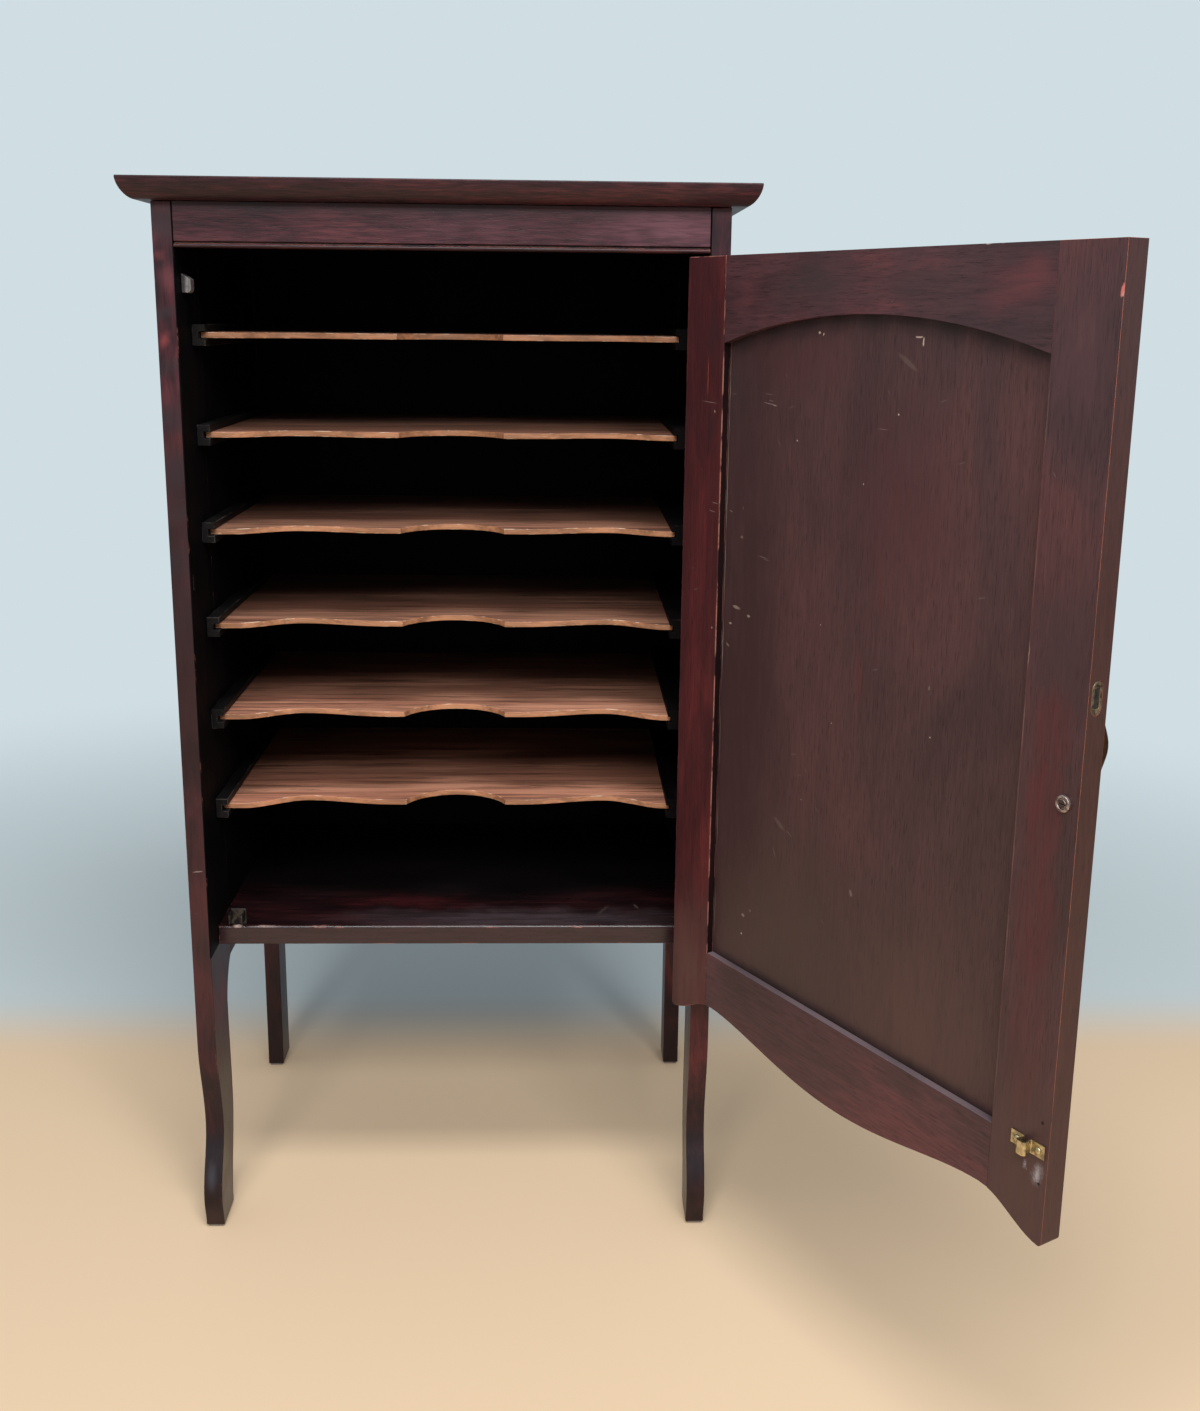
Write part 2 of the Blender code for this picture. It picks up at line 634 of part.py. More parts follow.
def make_door_frame():
    made = {}
    hinge = stile_outline()
    lock = [(DOOR_WIDTH - u, z) for u, z in reversed(hinge)]
    rail_near = STILE_WIDTH + SEAT
    rail_far = DOOR_WIDTH - rail_near
    low_rail = [(u, skirt(u)) for u in spaced(rail_near, rail_far, 4 * CURVE)]
    low_rail += [(rail_far, BOTTOM_RAIL_TOP), (rail_near, BOTTOM_RAIL_TOP)]
    top_rail = [(u, arch(u)) for u in spaced(rail_near, rail_far, 2 * CURVE)]
    top_rail += [(rail_far, DOOR_TOP), (rail_near, DOOR_TOP)]
    outlines = {"door_hinge_stile": hinge, "door_lock_stile": lock,
                "door_bottom_rail": low_rail, "door_top_rail": top_rail}
    groove = Builder().prism(panel_outline(PANEL_TONGUE + SEAT), door_face,
                             PANEL_FRONT - SEAT, PANEL_FRONT + PANEL_THICK + SEAT)
    groove = groove.done("panel_groove_cutter", DOOR)
    for name, outline in outlines.items():
        made[name] = Builder().prism(outline, door_face, 0.0, DOOR_THICK).done(name, DOOR, MAHOGANY)
        combine(made[name], groove)
    panel = Builder().prism(panel_outline(PANEL_TONGUE), door_face, PANEL_FRONT, PANEL_FRONT + PANEL_THICK)
    panel.done("door_panel", DOOR, MAHOGANY)
    return made


def knuckle_levels(middle, own):
    """Bottom and top of each knuckle that one leaf carries: every second one, from 0 or from 1."""
    length = HINGE_LENGTH / HINGE_KNUCKLES
    low = middle - HINGE_LENGTH / 2
    out = []
    for i in range(own, HINGE_KNUCKLES, 2):
        out.append((low + i * length + SEAT / 2, low + (i + 1) * length - SEAT / 2))
    return out


def make_leaf(name, parent, shift, plate_low, middle, own, bore):
    """One hinge leaf: a plate beside the wood and the knuckles that it carries round the pin."""
    start = PIN_Y + KNUCKLE_RADIUS + SEAT
    plate = box_outline((plate_low, start), (plate_low + LEAF_THICK, LEAF_DEPTH))

    def place(x, y, z):
        return (x - shift[0], y - shift[1], z)

    leaf = Builder().prism(plate, place, middle - HINGE_LENGTH / 2, middle + HINGE_LENGTH / 2)
    leaf = leaf.done(name, parent, BRASS)
    tabs = Builder()
    barrels = Builder()
    for low, high in knuckle_levels(middle, own):
        tab = box_outline((plate_low + LEAF_THICK / 8, PIN_Y), (plate_low + LEAF_THICK * 7 / 8, start + SEAT))
        tabs.prism(tab, place, low + SEAT, high - SEAT)
        barrels.prism(circle(KNUCKLE_RADIUS, centre=(PIN_X, PIN_Y)), place, low, high)
    combine(leaf, tabs.done(f"{name}_tab_tool", parent), "UNION")
    combine(leaf, barrels.done(f"{name}_barrel_tool", parent), "UNION")
    combine(leaf, bore)


def make_hinges():
    for which, middle in HINGE_LEVELS.items():
        low, high = middle - HINGE_LENGTH / 2, middle + HINGE_LENGTH / 2
        pin = circle(HINGE_PIN_RADIUS, centre=(PIN_X, PIN_Y))
        Builder().prism(pin, along_z, low, high).done(f"hinge_pin_{which}", ROOT, BRASS)
        hole = circle(HINGE_PIN_RADIUS + SEAT, centre=(PIN_X, PIN_Y))
        bore = Builder().prism(hole, along_z, low - HINGE_PIN_RADIUS, high + HINGE_PIN_RADIUS)
        bore = bore.done(f"hinge_bore_cutter_{which}", ROOT)
        plate = POST_INNER - SEAT - LEAF_THICK
        make_leaf(f"hinge_post_leaf_{which}", ROOT, (0.0, 0.0), plate, middle, 0, bore)
        plate = DOOR_EDGE + SEAT
        make_leaf(f"hinge_door_leaf_{which}", DOOR, (PIN_X, PIN_Y), plate, middle, 1, bore)


def lock_section(thick, height, clear=0.0):
    """Outline round the middle of the lock in the door's free edge, as (depth, level)."""
    return box_outline((LOCK_INSET - thick / 2 - clear, LOCK_LEVEL - height / 2 - clear),
                       (LOCK_INSET + thick / 2 + clear, LOCK_LEVEL + height / 2 + clear))


def make_lock(stile, holes):
    """Lock let into the free edge: a case behind a plate, the bolt that slides in it, and the keyhole."""
    shut = DOOR_WIDTH - PLATE_THICK - SEAT
    deep = shut - CASE_LENGTH
    recess = obround(PLATE_WIDTH + 2 * SEAT, PLATE_HEIGHT + 2 * SEAT, (LOCK_INSET, LOCK_LEVEL))
    recess = Builder().prism(recess, door_edge, shut, DOOR_WIDTH + PLATE_THICK)
    combine(stile, recess.done("lock_recess_cutter", DOOR))
    mortise = Builder().prism(lock_section(CASE_THICK, CASE_HEIGHT, SEAT), door_edge, deep - SEAT,
                              DOOR_WIDTH - PLATE_THICK / 2)
    combine(stile, mortise.done("case_mortise_cutter", DOOR))
    case = Builder().prism(lock_section(CASE_THICK, CASE_HEIGHT), door_edge, deep, shut)
    case = case.done("lock_case", DOOR, IRON)
    hollow = lock_section(CASE_THICK, CASE_HEIGHT, -CASE_WALL)
    hollow = Builder().prism(hollow, door_edge, deep + CASE_WALL, DOOR_WIDTH)
    combine(case, hollow.done("case_hollow_cutter", DOOR))
    keyhole = obround(KEYHOLE_WIDTH, KEYHOLE_HEIGHT, (DOOR_WIDTH - KEYHOLE_BACKSET, LOCK_LEVEL))
    holes.prism(keyhole, door_face, -LOCK_INSET, LOCK_INSET)
    plate = obround(PLATE_WIDTH, PLATE_HEIGHT, (LOCK_INSET, LOCK_LEVEL))
    plate = Builder().prism(plate, door_edge, DOOR_WIDTH - PLATE_THICK, DOOR_WIDTH)
    slot = lock_section(BOLT_THICK, BOLT_HEIGHT, RUN)
    slot = Builder().prism(slot, door_edge, shut, DOOR_WIDTH + BOLT_THROW)
    combine(plate.done("lock_plate", DOOR, BRASS), slot.done("bolt_slot_cutter", DOOR))
    bolt = lock_section(BOLT_THICK, BOLT_HEIGHT)
    bolt = Builder().prism(bolt, door_edge, DOOR_WIDTH - BOLT_LENGTH, DOOR_WIDTH)
    bolt.done("lock_bolt", DOOR, IRON, door_face(DOOR_WIDTH, LOCK_LEVEL, LOCK_INSET))
    return case


def handle_post(level, depth):
    """Turned post of the handle: its stud or dowel in the door, a foot and a domed head, as one shell."""
    def place(a, b, forward):
        return door_face(DOOR_WIDTH - HANDLE_BACKSET + a, level + b, -forward)

    foot = SEAT + HANDLE_FOOT_THICK
    profile = [(STUD_RADIUS, -depth), (STUD_RADIUS, SEAT), (HANDLE_FOOT, SEAT), (HANDLE_FOOT, foot),
               (HANDLE_POST, foot)]
    for i in range(CURVE // 2):
        turn = math.pi / 2 * i / (CURVE // 2)
        profile.append((HANDLE_POST * math.cos(turn), HANDLE_POST_RISE + HANDLE_POST * math.sin(turn)))
    return turned(profile, place)


def handle_bow():
    """Rings of the bow from post to post, swelled outwards and in girth at the middle."""
    across = DOOR_WIDTH - HANDLE_BACKSET
    half = HANDLE_SPAN / 2
    rise = HANDLE_PROJECTION - HANDLE_ROD - HANDLE_SWELL - HANDLE_POST_RISE
    rings = []
    for i in range(2 * CURVE + 1):
        away = math.pi / 2 * (i / CURVE - 1)
        bell = math.cos(away) ** HANDLE_BELL
        fall = HANDLE_BELL * math.cos(away) ** (HANDLE_BELL - 1) * math.sin(away)
        along = Vector((1.0, -rise * fall * math.pi / 2 / half)).normalized()
        level = HANDLE_LOW + half * i / CURVE
        forward = HANDLE_POST_RISE + rise * bell
        ring = []
        for a, b in circle(HANDLE_ROD + HANDLE_SWELL * bell):
            ring.append(door_face(across + a, level - b * along.y, -forward - b * along.x))
        rings.append(ring)
    return rings


def make_nut():
    """Slotted round nut on the stud: a raised rim, a groove and a boss."""
    across = DOOR_WIDTH - HANDLE_BACKSET
    seat = DOOR_THICK + SEAT

    def place(a, b, height):
        return door_face(across + a, HANDLE_LOW + b, seat + height)

    dish = NUT_THICK - NUT_DISH
    profile = [(NUT_RADIUS, 0.0), (NUT_RADIUS, NUT_THICK - NUT_EASE), (NUT_RADIUS - NUT_EASE, NUT_THICK),
               (NUT_RADIUS - NUT_RIM, NUT_THICK), (NUT_RADIUS - NUT_RIM - NUT_EASE, dish),
               (NUT_BOSS, dish), (NUT_BOSS, NUT_THICK - NUT_EASE / 2), (NUT_BOSS - NUT_EASE / 2, NUT_THICK)]
    nut = Builder().rings(turned(profile, place)).done("handle_nut", DOOR, IRON)
    slot = box_outline((across - NUT_BOSS, HANDLE_LOW - NUT_SLOT / 2),
                       (across + NUT_BOSS, HANDLE_LOW + NUT_SLOT / 2))
    top = seat + NUT_THICK
    slot = Builder().prism(slot, door_face, top - NUT_SLOT, top + NUT_SLOT)
    combine(nut, slot.done("nut_slot_cutter", DOOR))
    return nut


def make_handle(holes):
    """Bow handle bolted through the lock stile at its lower end and dowelled at its upper end."""
    stud = DOOR_THICK + SEAT + STUD_END
    fixings = ((HANDLE_LOW, stud), (HANDLE_LOW + HANDLE_SPAN, DOWEL_LENGTH))
    posts = []
    for level, depth in fixings:
        posts.append(Builder().rings(handle_post(level, depth)))
        hole = circle(STUD_RADIUS + SEAT, centre=(DOOR_WIDTH - HANDLE_BACKSET, level))
        holes.prism(hole, door_face, -HANDLE_FOOT_THICK, depth + SEAT)
    handle = Builder().rings(handle_bow()).done("door_handle", DOOR, BRASS)
    for number, post in enumerate(posts, 1):
        combine(handle, post.done(f"handle_post_tool_{number}", DOOR), "UNION")
    return make_nut()


def make_catch(holes):
    """Brass strip on the lock stile, bent to a hollow crown on a narrower neck, held by two screws."""
    middle = DOOR_WIDTH - CATCH_BACKSET
    face = DOOR_THICK + SEAT
    half = CATCH_LENGTH / 2
    near, far = middle - half, middle + half
    strip = face + CATCH_STRIP
    bend = 90.0 + CATCH_LEAN_DEG
    lean = math.radians(CATCH_LEAN_DEG)
    both_bends = CATCH_BASE_BEND + CATCH_CROWN_BEND
    wall = (CATCH_PROJECTION - CATCH_STRIP - both_bends * (1 + math.sin(lean))) / math.cos(lean)
    crown = CATCH_CROWN - CATCH_STRIP - 2 * CATCH_CROWN_BEND
    flange = half - crown / 2 - both_bends * math.cos(lean) + wall * math.sin(lean)
    bends = [(flange, CATCH_BASE_BEND, bend), (wall, CATCH_CROWN_BEND, -bend),
             (crown, CATCH_CROWN_BEND, -bend), (wall, CATCH_BASE_BEND, bend), (flange, 0.0, 0)]
    outline = bent_strip((near, face + CATCH_STRIP / 2), bends, CATCH_STRIP)
    catch = Builder().prism(outline, door_plan, CATCH_LOW, CATCH_LOW + CATCH_HEIGHT)
    catch = catch.done("door_catch", DOOR, BRASS)
    level = CATCH_LOW + CATCH_HEIGHT / 2
    seat = strip + SEAT
    for number, across in enumerate((near + flange / 2, far - flange / 2), 1):
        def place(a, b, depth, across=across):
            return door_face(across + a, level + b, depth)
        profile = [(CATCH_SCREW_SHANK, seat - CATCH_SCREW_LENGTH), (CATCH_SCREW_SHANK, seat)]
        for i in range(CURVE // 2):
            turn = math.pi / 2 * i / (CURVE // 2)
            profile.append((CATCH_SCREW_HEAD * math.cos(turn), seat + CATCH_SCREW_DOME * math.sin(turn)))
        Builder().rings(turned(profile, place)).done(f"catch_screw_{number}", DOOR, BRASS)
        holes.prism(circle(CATCH_SCREW_SHANK + SEAT, centre=(across, level)), door_face,
                    seat - CATCH_SCREW_LENGTH - SEAT, seat + CATCH_STRIP)
    return catch


def fit_lock_stile(stile):
    """Add what the lock stile carries, with all the holes for it drilled at once."""
    holes = Builder()
    drilled = [stile, make_lock(stile, holes), make_handle(holes), make_catch(holes)]
    holes = holes.done("lock_stile_hole_cutter", DOOR)
    for piece in drilled:
        combine(piece, holes)


def centre_on_floor():
    """Move the root so that the part, door open, stands centred over the origin."""
    bpy.context.view_layer.update()
    graph = bpy.context.evaluated_depsgraph_get()
    points = []
    for made in bpy.context.scene.objects:
        if made.type == "MESH" and not made.hide_render:
            final = made.evaluated_get(graph)
            points += [final.matrix_world @ v.co for v in final.data.vertices]
    xs = [p.x for p in points]
    ys = [p.y for p in points]
    ROOT.location = (-(min(xs) + max(xs)) / 2, -(min(ys) + max(ys)) / 2, 0.0)
    bpy.context.view_layer.update()


make_top()
make_posts()
make_glides()
make_boards()
make_trays()
make_stop()
make_clip()
frame = make_door_frame()
make_hinges()
fit_lock_stile(frame["door_lock_stile"])
centre_on_floor()
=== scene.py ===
"""Looks for the sheet music cabinet: worn polished mahogany, pale tray boards and old brass.

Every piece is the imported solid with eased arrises, laid in a frame of its own whose X runs along the
grain and whose Z points out of its best face, so that one set of finishes fits them all and moves with
them.
"""
import json
import math
from collections import namedtuple

import bmesh
import bpy
from mathutils import Matrix, Vector


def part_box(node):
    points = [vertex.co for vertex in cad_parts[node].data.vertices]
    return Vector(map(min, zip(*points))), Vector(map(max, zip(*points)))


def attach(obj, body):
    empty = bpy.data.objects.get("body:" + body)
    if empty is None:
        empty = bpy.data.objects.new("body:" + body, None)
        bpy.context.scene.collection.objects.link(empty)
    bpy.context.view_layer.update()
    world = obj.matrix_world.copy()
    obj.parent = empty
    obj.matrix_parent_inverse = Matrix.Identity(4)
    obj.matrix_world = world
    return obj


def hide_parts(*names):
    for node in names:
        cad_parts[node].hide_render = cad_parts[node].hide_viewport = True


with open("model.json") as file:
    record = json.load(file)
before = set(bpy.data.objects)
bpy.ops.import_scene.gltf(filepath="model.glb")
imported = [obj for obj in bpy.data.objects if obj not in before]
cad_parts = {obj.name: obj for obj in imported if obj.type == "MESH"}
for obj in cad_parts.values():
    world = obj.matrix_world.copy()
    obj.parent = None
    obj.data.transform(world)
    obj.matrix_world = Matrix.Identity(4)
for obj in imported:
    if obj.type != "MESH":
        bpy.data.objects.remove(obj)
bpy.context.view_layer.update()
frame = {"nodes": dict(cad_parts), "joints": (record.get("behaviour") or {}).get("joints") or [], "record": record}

ACROSS = Vector((1.0, 0.0, 0.0))
BACKWARD = Vector((0.0, 1.0, 0.0))
UP = Vector((0.0, 0.0, 1.0))


def middle(node):
    low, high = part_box(node)
    return (low + high) / 2


# Places that everything else is measured from, in the frame's metres
CABINET = Vector((middle("frieze_rail").x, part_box("frieze_rail")[0].y, 0.0))   # middle of the front
HINGE = next(joint for joint in frame["joints"] if joint["name"] == "door_hinge")
PIN = Vector((*HINGE["pos_m"][:2], 0.0))
DOOR_ANGLE = -math.radians(HINGE["range_deg"][0])
DOOR_ACROSS = Vector((-math.cos(DOOR_ANGLE), -math.sin(DOOR_ANGLE), 0.0))
DOOR_INWARD = Vector((-math.sin(DOOR_ANGLE), math.cos(DOOR_ANGLE), 0.0))
FLOOR_OF_CASE, BOARD_TOP = (corner.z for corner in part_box("bottom_board"))
FRIEZE_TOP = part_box("frieze_rail")[1].z
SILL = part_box("door_bottom_rail")[1].z
TRAY_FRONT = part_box("tray_1")[0].y - middle("tray_1").y      # in a tray's own frame
SOLE = -middle("front_post_left").z                          # in a post's own frame
NUT_EYE = 0.28 * (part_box("handle_nut")[1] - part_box("handle_nut")[0]).z

# Directions of the grain and of the best face
FLAT = (ACROSS, UP)
HEAD = (ACROSS, -BACKWARD)
POST = (UP, -BACKWARD)
STILE = (UP, DOOR_INWARD)
RAIL = (DOOR_ACROSS, DOOR_INWARD)


def door_points(node):
    """How far across from the pin, and how high, each corner of a piece of the door lies."""
    return [((v.co - PIN).dot(DOOR_ACROSS), v.co.z) for v in frame["nodes"][node].data.vertices]


DOOR_START = min(door_points("door_hinge_stile"))[0]
STILE_WIDTH = max(door_points("door_hinge_stile"))[0] - DOOR_START
ARCH = [(across - DOOR_START, level) for across, level in door_points("door_top_rail")]


def on_door(across, level):
    """A point of the open door, from its hinge edge and the floor."""
    return PIN + (DOOR_START + across) * DOOR_ACROSS + level * UP


def arch_level(across, reach=0.012):
    """The lower edge of the door's top rail near a place across the door."""
    return min(level for place, level in ARCH if abs(place - across) < reach)


def arch_slope(across, step=0.02):
    """The slope of that edge, in degrees."""
    return math.degrees(math.atan2(arch_level(across + step) - arch_level(across - step), 2 * step))


def on_cabinet(x, y, level):
    """A point of the carcass, from the middle of its front and the floor."""
    return CABINET + Vector((x, y, level))


def grain_frame(node, along, out):
    """A frame at the middle of a node, with X along the grain and Z out of its best face."""
    turn = Matrix((along, out.cross(along).normalized(), out)).transposed()
    return Matrix.Translation(middle(node)) @ turn.to_4x4()


# Node trees
class Shader:
    """A material with short calls for the nodes that the finishes here use."""

    def __init__(self, name):
        self.material = bpy.data.materials.new(name)
        self.material.use_nodes = True
        self.nodes = self.material.node_tree.nodes
        self.links = self.material.node_tree.links
        self.surface = self.nodes["Principled BSDF"]
        places = self.add("ShaderNodeTexCoord")
        self.place = places.outputs["Object"]
        self.normal = places.outputs["Normal"]

    def add(self, kind, **settings):
        node = self.nodes.new(kind)
        for key, value in settings.items():
            setattr(node, key, value)
        return node

    def feed(self, socket, value):
        if isinstance(value, bpy.types.NodeSocket):
            self.links.new(value, socket)
        elif socket.type == "RGBA":
            socket.default_value = (*value, 1.0)
        else:
            socket.default_value = value

    def math(self, operation, first, second=0.0):
        node = self.add("ShaderNodeMath", operation=operation)
        self.feed(node.inputs[0], first)
        self.feed(node.inputs[1], second)
        return node.outputs[0]

    def vector(self, operation, first, second=(0.0, 0.0, 0.0)):
        node = self.add("ShaderNodeVectorMath", operation=operation)
        self.feed(node.inputs[0], first)
        self.feed(node.inputs[1], second)
        return node.outputs["Value" if operation == "LENGTH" else "Vector"]

    def step(self, value, low, high, out_low=0.0, out_high=1.0):
        """A smooth step of value from low to high."""
        node = self.add("ShaderNodeMapRange", interpolation_type="SMOOTHSTEP")
        for socket, number in zip(node.inputs, (value, low, high, out_low, out_high)):
            self.feed(socket, number)
        return node.outputs["Result"]

    def mix(self, share, first, second, blend="MIX"):
        node = self.add("ShaderNodeMix", data_type="RGBA", blend_type=blend)
        for name, value in (("Factor_Float", share), ("A_Color", first), ("B_Color", second)):
            self.feed(next(s for s in node.inputs if s.identifier == name), value)
        return next(s for s in node.outputs if s.identifier == "Result_Color")

    def shaded(self, colour, factor):
        """A colour times a number."""
        grey = self.add("ShaderNodeCombineColor")
        for socket in grey.inputs:
            self.feed(socket, factor)
        return self.mix(1.0, colour, grey.outputs["Color"], "MULTIPLY")

    def noise(self, place, scale, detail=3.0, roughness=0.55, distortion=0.0):
        node = self.add("ShaderNodeTexNoise")
        self.feed(node.inputs["Vector"], self.vector("MULTIPLY", place, scale))
        node.inputs["Scale"].default_value = 1.0
        node.inputs["Detail"].default_value = detail
        node.inputs["Roughness"].default_value = roughness
        node.inputs["Distortion"].default_value = distortion
        return node.outputs["Fac"]

    def ragged(self, place, scale, amount):
        """Places shaken by a fine noise, so that the edges of marks are ragged."""
        node = self.add("ShaderNodeTexNoise")
        self.links.new(place, node.inputs["Vector"])
        node.inputs["Scale"].default_value = scale
        shake = self.vector("SUBTRACT", node.outputs["Color"], (0.5, 0.5, 0.5))
        return self.vector("ADD", place, self.vector("MULTIPLY", shake, (amount, amount, 0.0)))

    def cells(self, place, scale):
        """Distance to the nearest of scattered points, and a random number for that point."""
        node = self.add("ShaderNodeTexVoronoi")
        self.feed(node.inputs["Vector"], self.vector("MULTIPLY", place, scale))
        node.inputs["Scale"].default_value = 1.0
        return node.outputs["Distance"], self.axes(node.outputs["Color"])["X"]

    def axes(self, place):
        node = self.add("ShaderNodeSeparateXYZ")
        self.links.new(place, node.inputs["Vector"])
        return node.outputs

    def turned(self, place, degrees):
        """Places turned about the piece's Z."""
        node = self.add("ShaderNodeVectorRotate", rotation_type="Z_AXIS")
        self.links.new(place, node.inputs["Vector"])
        node.inputs["Angle"].default_value = math.radians(degrees)
        return node.outputs["Vector"]

    def attribute(self, name, kind="GEOMETRY"):
        return self.add("ShaderNodeAttribute", attribute_name=name, attribute_type=kind).outputs["Fac"]

    def bump(self, height, strength, distance):
        node = self.add("ShaderNodeBump")
        node.inputs["Strength"].default_value = strength
        node.inputs["Distance"].default_value = distance
        self.links.new(height, node.inputs["Height"])
        self.links.new(node.outputs["Normal"], self.surface.inputs["Normal"])

    def finish(self, **values):
        for name, value in values.items():
            self.feed(self.surface.inputs[name.replace("_", " ").title().replace("Ior", "IOR")], value)
        return self.material


BOARD_SHIFT = (7.1, 3.3, 5.7)     # how far a board's number moves its grain
FACING = 0.3                      # a face looks a given way if the cosine is above this


def seeded(shader):
    """The piece's own coordinates, shifted by its number so that no two boards match."""
    number = shader.attribute("board", "OBJECT")
    shift = shader.add("ShaderNodeCombineXYZ")
    for socket, share in zip(shift.inputs, BOARD_SHIFT):
        shader.feed(socket, shader.math("MULTIPLY", number, share))
    return shader.vector("ADD", shader.place, shift.outputs["Vector"])


def grain_noise(shader, place, scale, *settings):
    """Noise drawn out along the grain, its scale in cycles in a metre along and across."""
    along, across = scale
    return shader.noise(place, (along, across, across), *settings)


def scratches(shader, place, degrees, length, width, kept):
    """A mask of thin strokes at an angle to the grain, of which a share is kept."""
    reach, chance = shader.cells(shader.turned(place, degrees), (0.45 / length, 0.045 / width, 6.0))
    stroke = shader.step(reach, 0.09, 0.03)
    return shader.math("MULTIPLY", stroke, shader.math("LESS_THAN", chance, kept))


# Marks of use, and of painted shade, sheen, glint and reflection: where, how long along the grain, how wide
# across it, turned by how many degrees, how strong
Mark = namedtuple("Mark", "point long wide turn strength", defaults=(0.0, 1.0))
# Marks of one colour, the core at full strength, the scale and amount of their ragged outline, and how far
# the figure of the wood breaks them up
Layer = namedtuple("Layer", "colour marks core scale shake broken", defaults=(0.55, 700.0, 0.0016, 0.0))


def mark_mask(shader, layer, to_piece):
    """One mask for all the marks of a layer, on the piece's best face only."""
    place = shader.ragged(shader.place, layer.scale, layer.shake)
    mask = None
    for mark in layer.marks:
        away = shader.vector("SUBTRACT", place, tuple(to_piece @ mark.point))
        away = shader.turned(away, -mark.turn)
        away = shader.vector("MULTIPLY", away, (2 / mark.long, 2 / mark.wide, 0.0))
        spot = shader.step(shader.vector("LENGTH", away), 1.0, layer.core, 0.0, mark.strength)
        mask = shader.math("MAXIMUM", mask, spot) if mask else spot
    front = shader.math("GREATER_THAN", shader.axes(shader.normal)["Z"], FACING)
    return shader.math("MULTIPLY", mask, front)


# Grain of the mahogany, in cycles in a metre along and across
Grain = namedtuple("Grain", "mottle figure fibre")
BOLD = Grain((7.0, 19.0), (13.0, 130.0), (22.0, 420.0))
FINE = Grain((8.0, 30.0), (34.0, 330.0), (60.0, 800.0))
MOTTLED = Grain((11.0, 20.0), (26.0, 170.0), (40.0, 480.0))
QUIET = Grain((3.5, 8.0), (24.0, 150.0), (40.0, 480.0))

# Stains
Tones = namedtuple("Tones", "dark middle warm")
CARCASS_TONES = Tones((0.016, 0.0060, 0.0095), (0.044, 0.0095, 0.0160), (0.092, 0.0170, 0.0225))
TOP_TONES = Tones((0.021, 0.0098, 0.0130), (0.036, 0.0126, 0.0168), (0.066, 0.0180, 0.0215))
SIDE_TONES = Tones((0.024, 0.0098, 0.0130), (0.044, 0.0130, 0.0180), (0.072, 0.0195, 0.0240))
FRIEZE_TONES = Tones((0.028, 0.0110, 0.0155), (0.050, 0.0150, 0.0215), (0.082, 0.0240, 0.0300))
DOOR_TONES = Tones((0.044, 0.0220, 0.0270), (0.070, 0.0300, 0.0360), (0.108, 0.0360, 0.0420))
STILE_TONES = Tones((0.050, 0.0250, 0.0290), (0.068, 0.0310, 0.0350), (0.088, 0.0350, 0.0385))
RED_TONES = Tones((0.050, 0.0150, 0.0185), (0.072, 0.0175, 0.0210), (0.108, 0.0220, 0.0245))
PANEL_TONES = Tones((0.053, 0.0265, 0.0290), (0.067, 0.0320, 0.0345), (0.082, 0.0365, 0.0385))
BOTTOM_TONES = Tones((0.0085, 0.0040, 0.0048), (0.0160, 0.0052, 0.0064), (0.0360, 0.0080, 0.0092))
RUNNER_TONES = Tones((0.0042, 0.0040, 0.0046), (0.0065, 0.0060, 0.0066), (0.0100, 0.0088, 0.0092))
# dark stain and painted shade, for the faces inside the case
INNER_TONES = Tones((0.0022, 0.0020, 0.0026), (0.0032, 0.0027, 0.0034), (0.0048, 0.0034, 0.0040))
BACK_TONES = Tones((0.045, 0.020, 0.015), (0.070, 0.032, 0.023), (0.095, 0.042, 0.029))

# Colours of wear and dirt on any wood, with painted shade and a painted sheen
PORE = (0.008, 0.004, 0.005)
HOLE = (0.005, 0.004, 0.004)
# painted shade, for the door's panel below and above its rails and for the stop block's left half
PAINTED_SHADE = (0.016, 0.010, 0.012)
# dust and a painted sheen on faces that look up
DUST_AND_SHEEN = (0.21, 0.18, 0.20)
SCUFFED = (0.20, 0.17, 0.17)
SCUFF_WHITE = (0.62, 0.60, 0.68)
SCRATCH = (0.34, 0.27, 0.26)
CHIPPED = (0.50, 0.40, 0.36)
BARE_WOOD = (0.36, 0.135, 0.095)
PALE_ARRIS = (0.27, 0.115, 0.090)
BRIGHT_ARRIS = (0.62, 0.20, 0.115)
RUNNER_WORN = (0.050, 0.045, 0.045)

# Colours of the door's patches, lines and edges, some of them painted shade and a painted sheen
PANEL_RED = (0.072, 0.023, 0.028)
# painted sheen
PANEL_SHEEN = (0.086, 0.045, 0.038)
PANEL_OLIVE = (0.062, 0.0370, 0.0310)
# painted shade
PANEL_TOP_SHADE = (0.034, 0.0215, 0.0255)
PANEL_SHADE = (0.040, 0.0175, 0.0195)
PANEL_STREAK = (0.105, 0.022, 0.024)
PANEL_LINE = (0.25, 0.235, 0.200)
HINGE_TAN = (0.102, 0.0460, 0.0420)
# painted shade
HINGE_TOP_SHADE = (0.036, 0.0150, 0.0185)
STREAK_ORANGE = (0.26, 0.060, 0.036)
LOCK_ROSE = (0.092, 0.042, 0.049)
LOCK_TAN = (0.080, 0.041, 0.036)
LOCK_DIM = (0.050, 0.026, 0.030)
DOOR_RED = (0.105, 0.016, 0.018)
WORN_LINE = (0.32, 0.20, 0.18)
CHIP_PINK = (0.56, 0.17, 0.15)
RAIL_RED = (0.122, 0.036, 0.042)
RAIL_DIM = (0.038, 0.0245, 0.0290)
EDGE_BROWN = (0.053, 0.0205, 0.0190)
# near black: the hinge stile's side faces, and painted shade at the back of the bottom board
NEAR_BLACK = (0.0030, 0.0024, 0.0030)
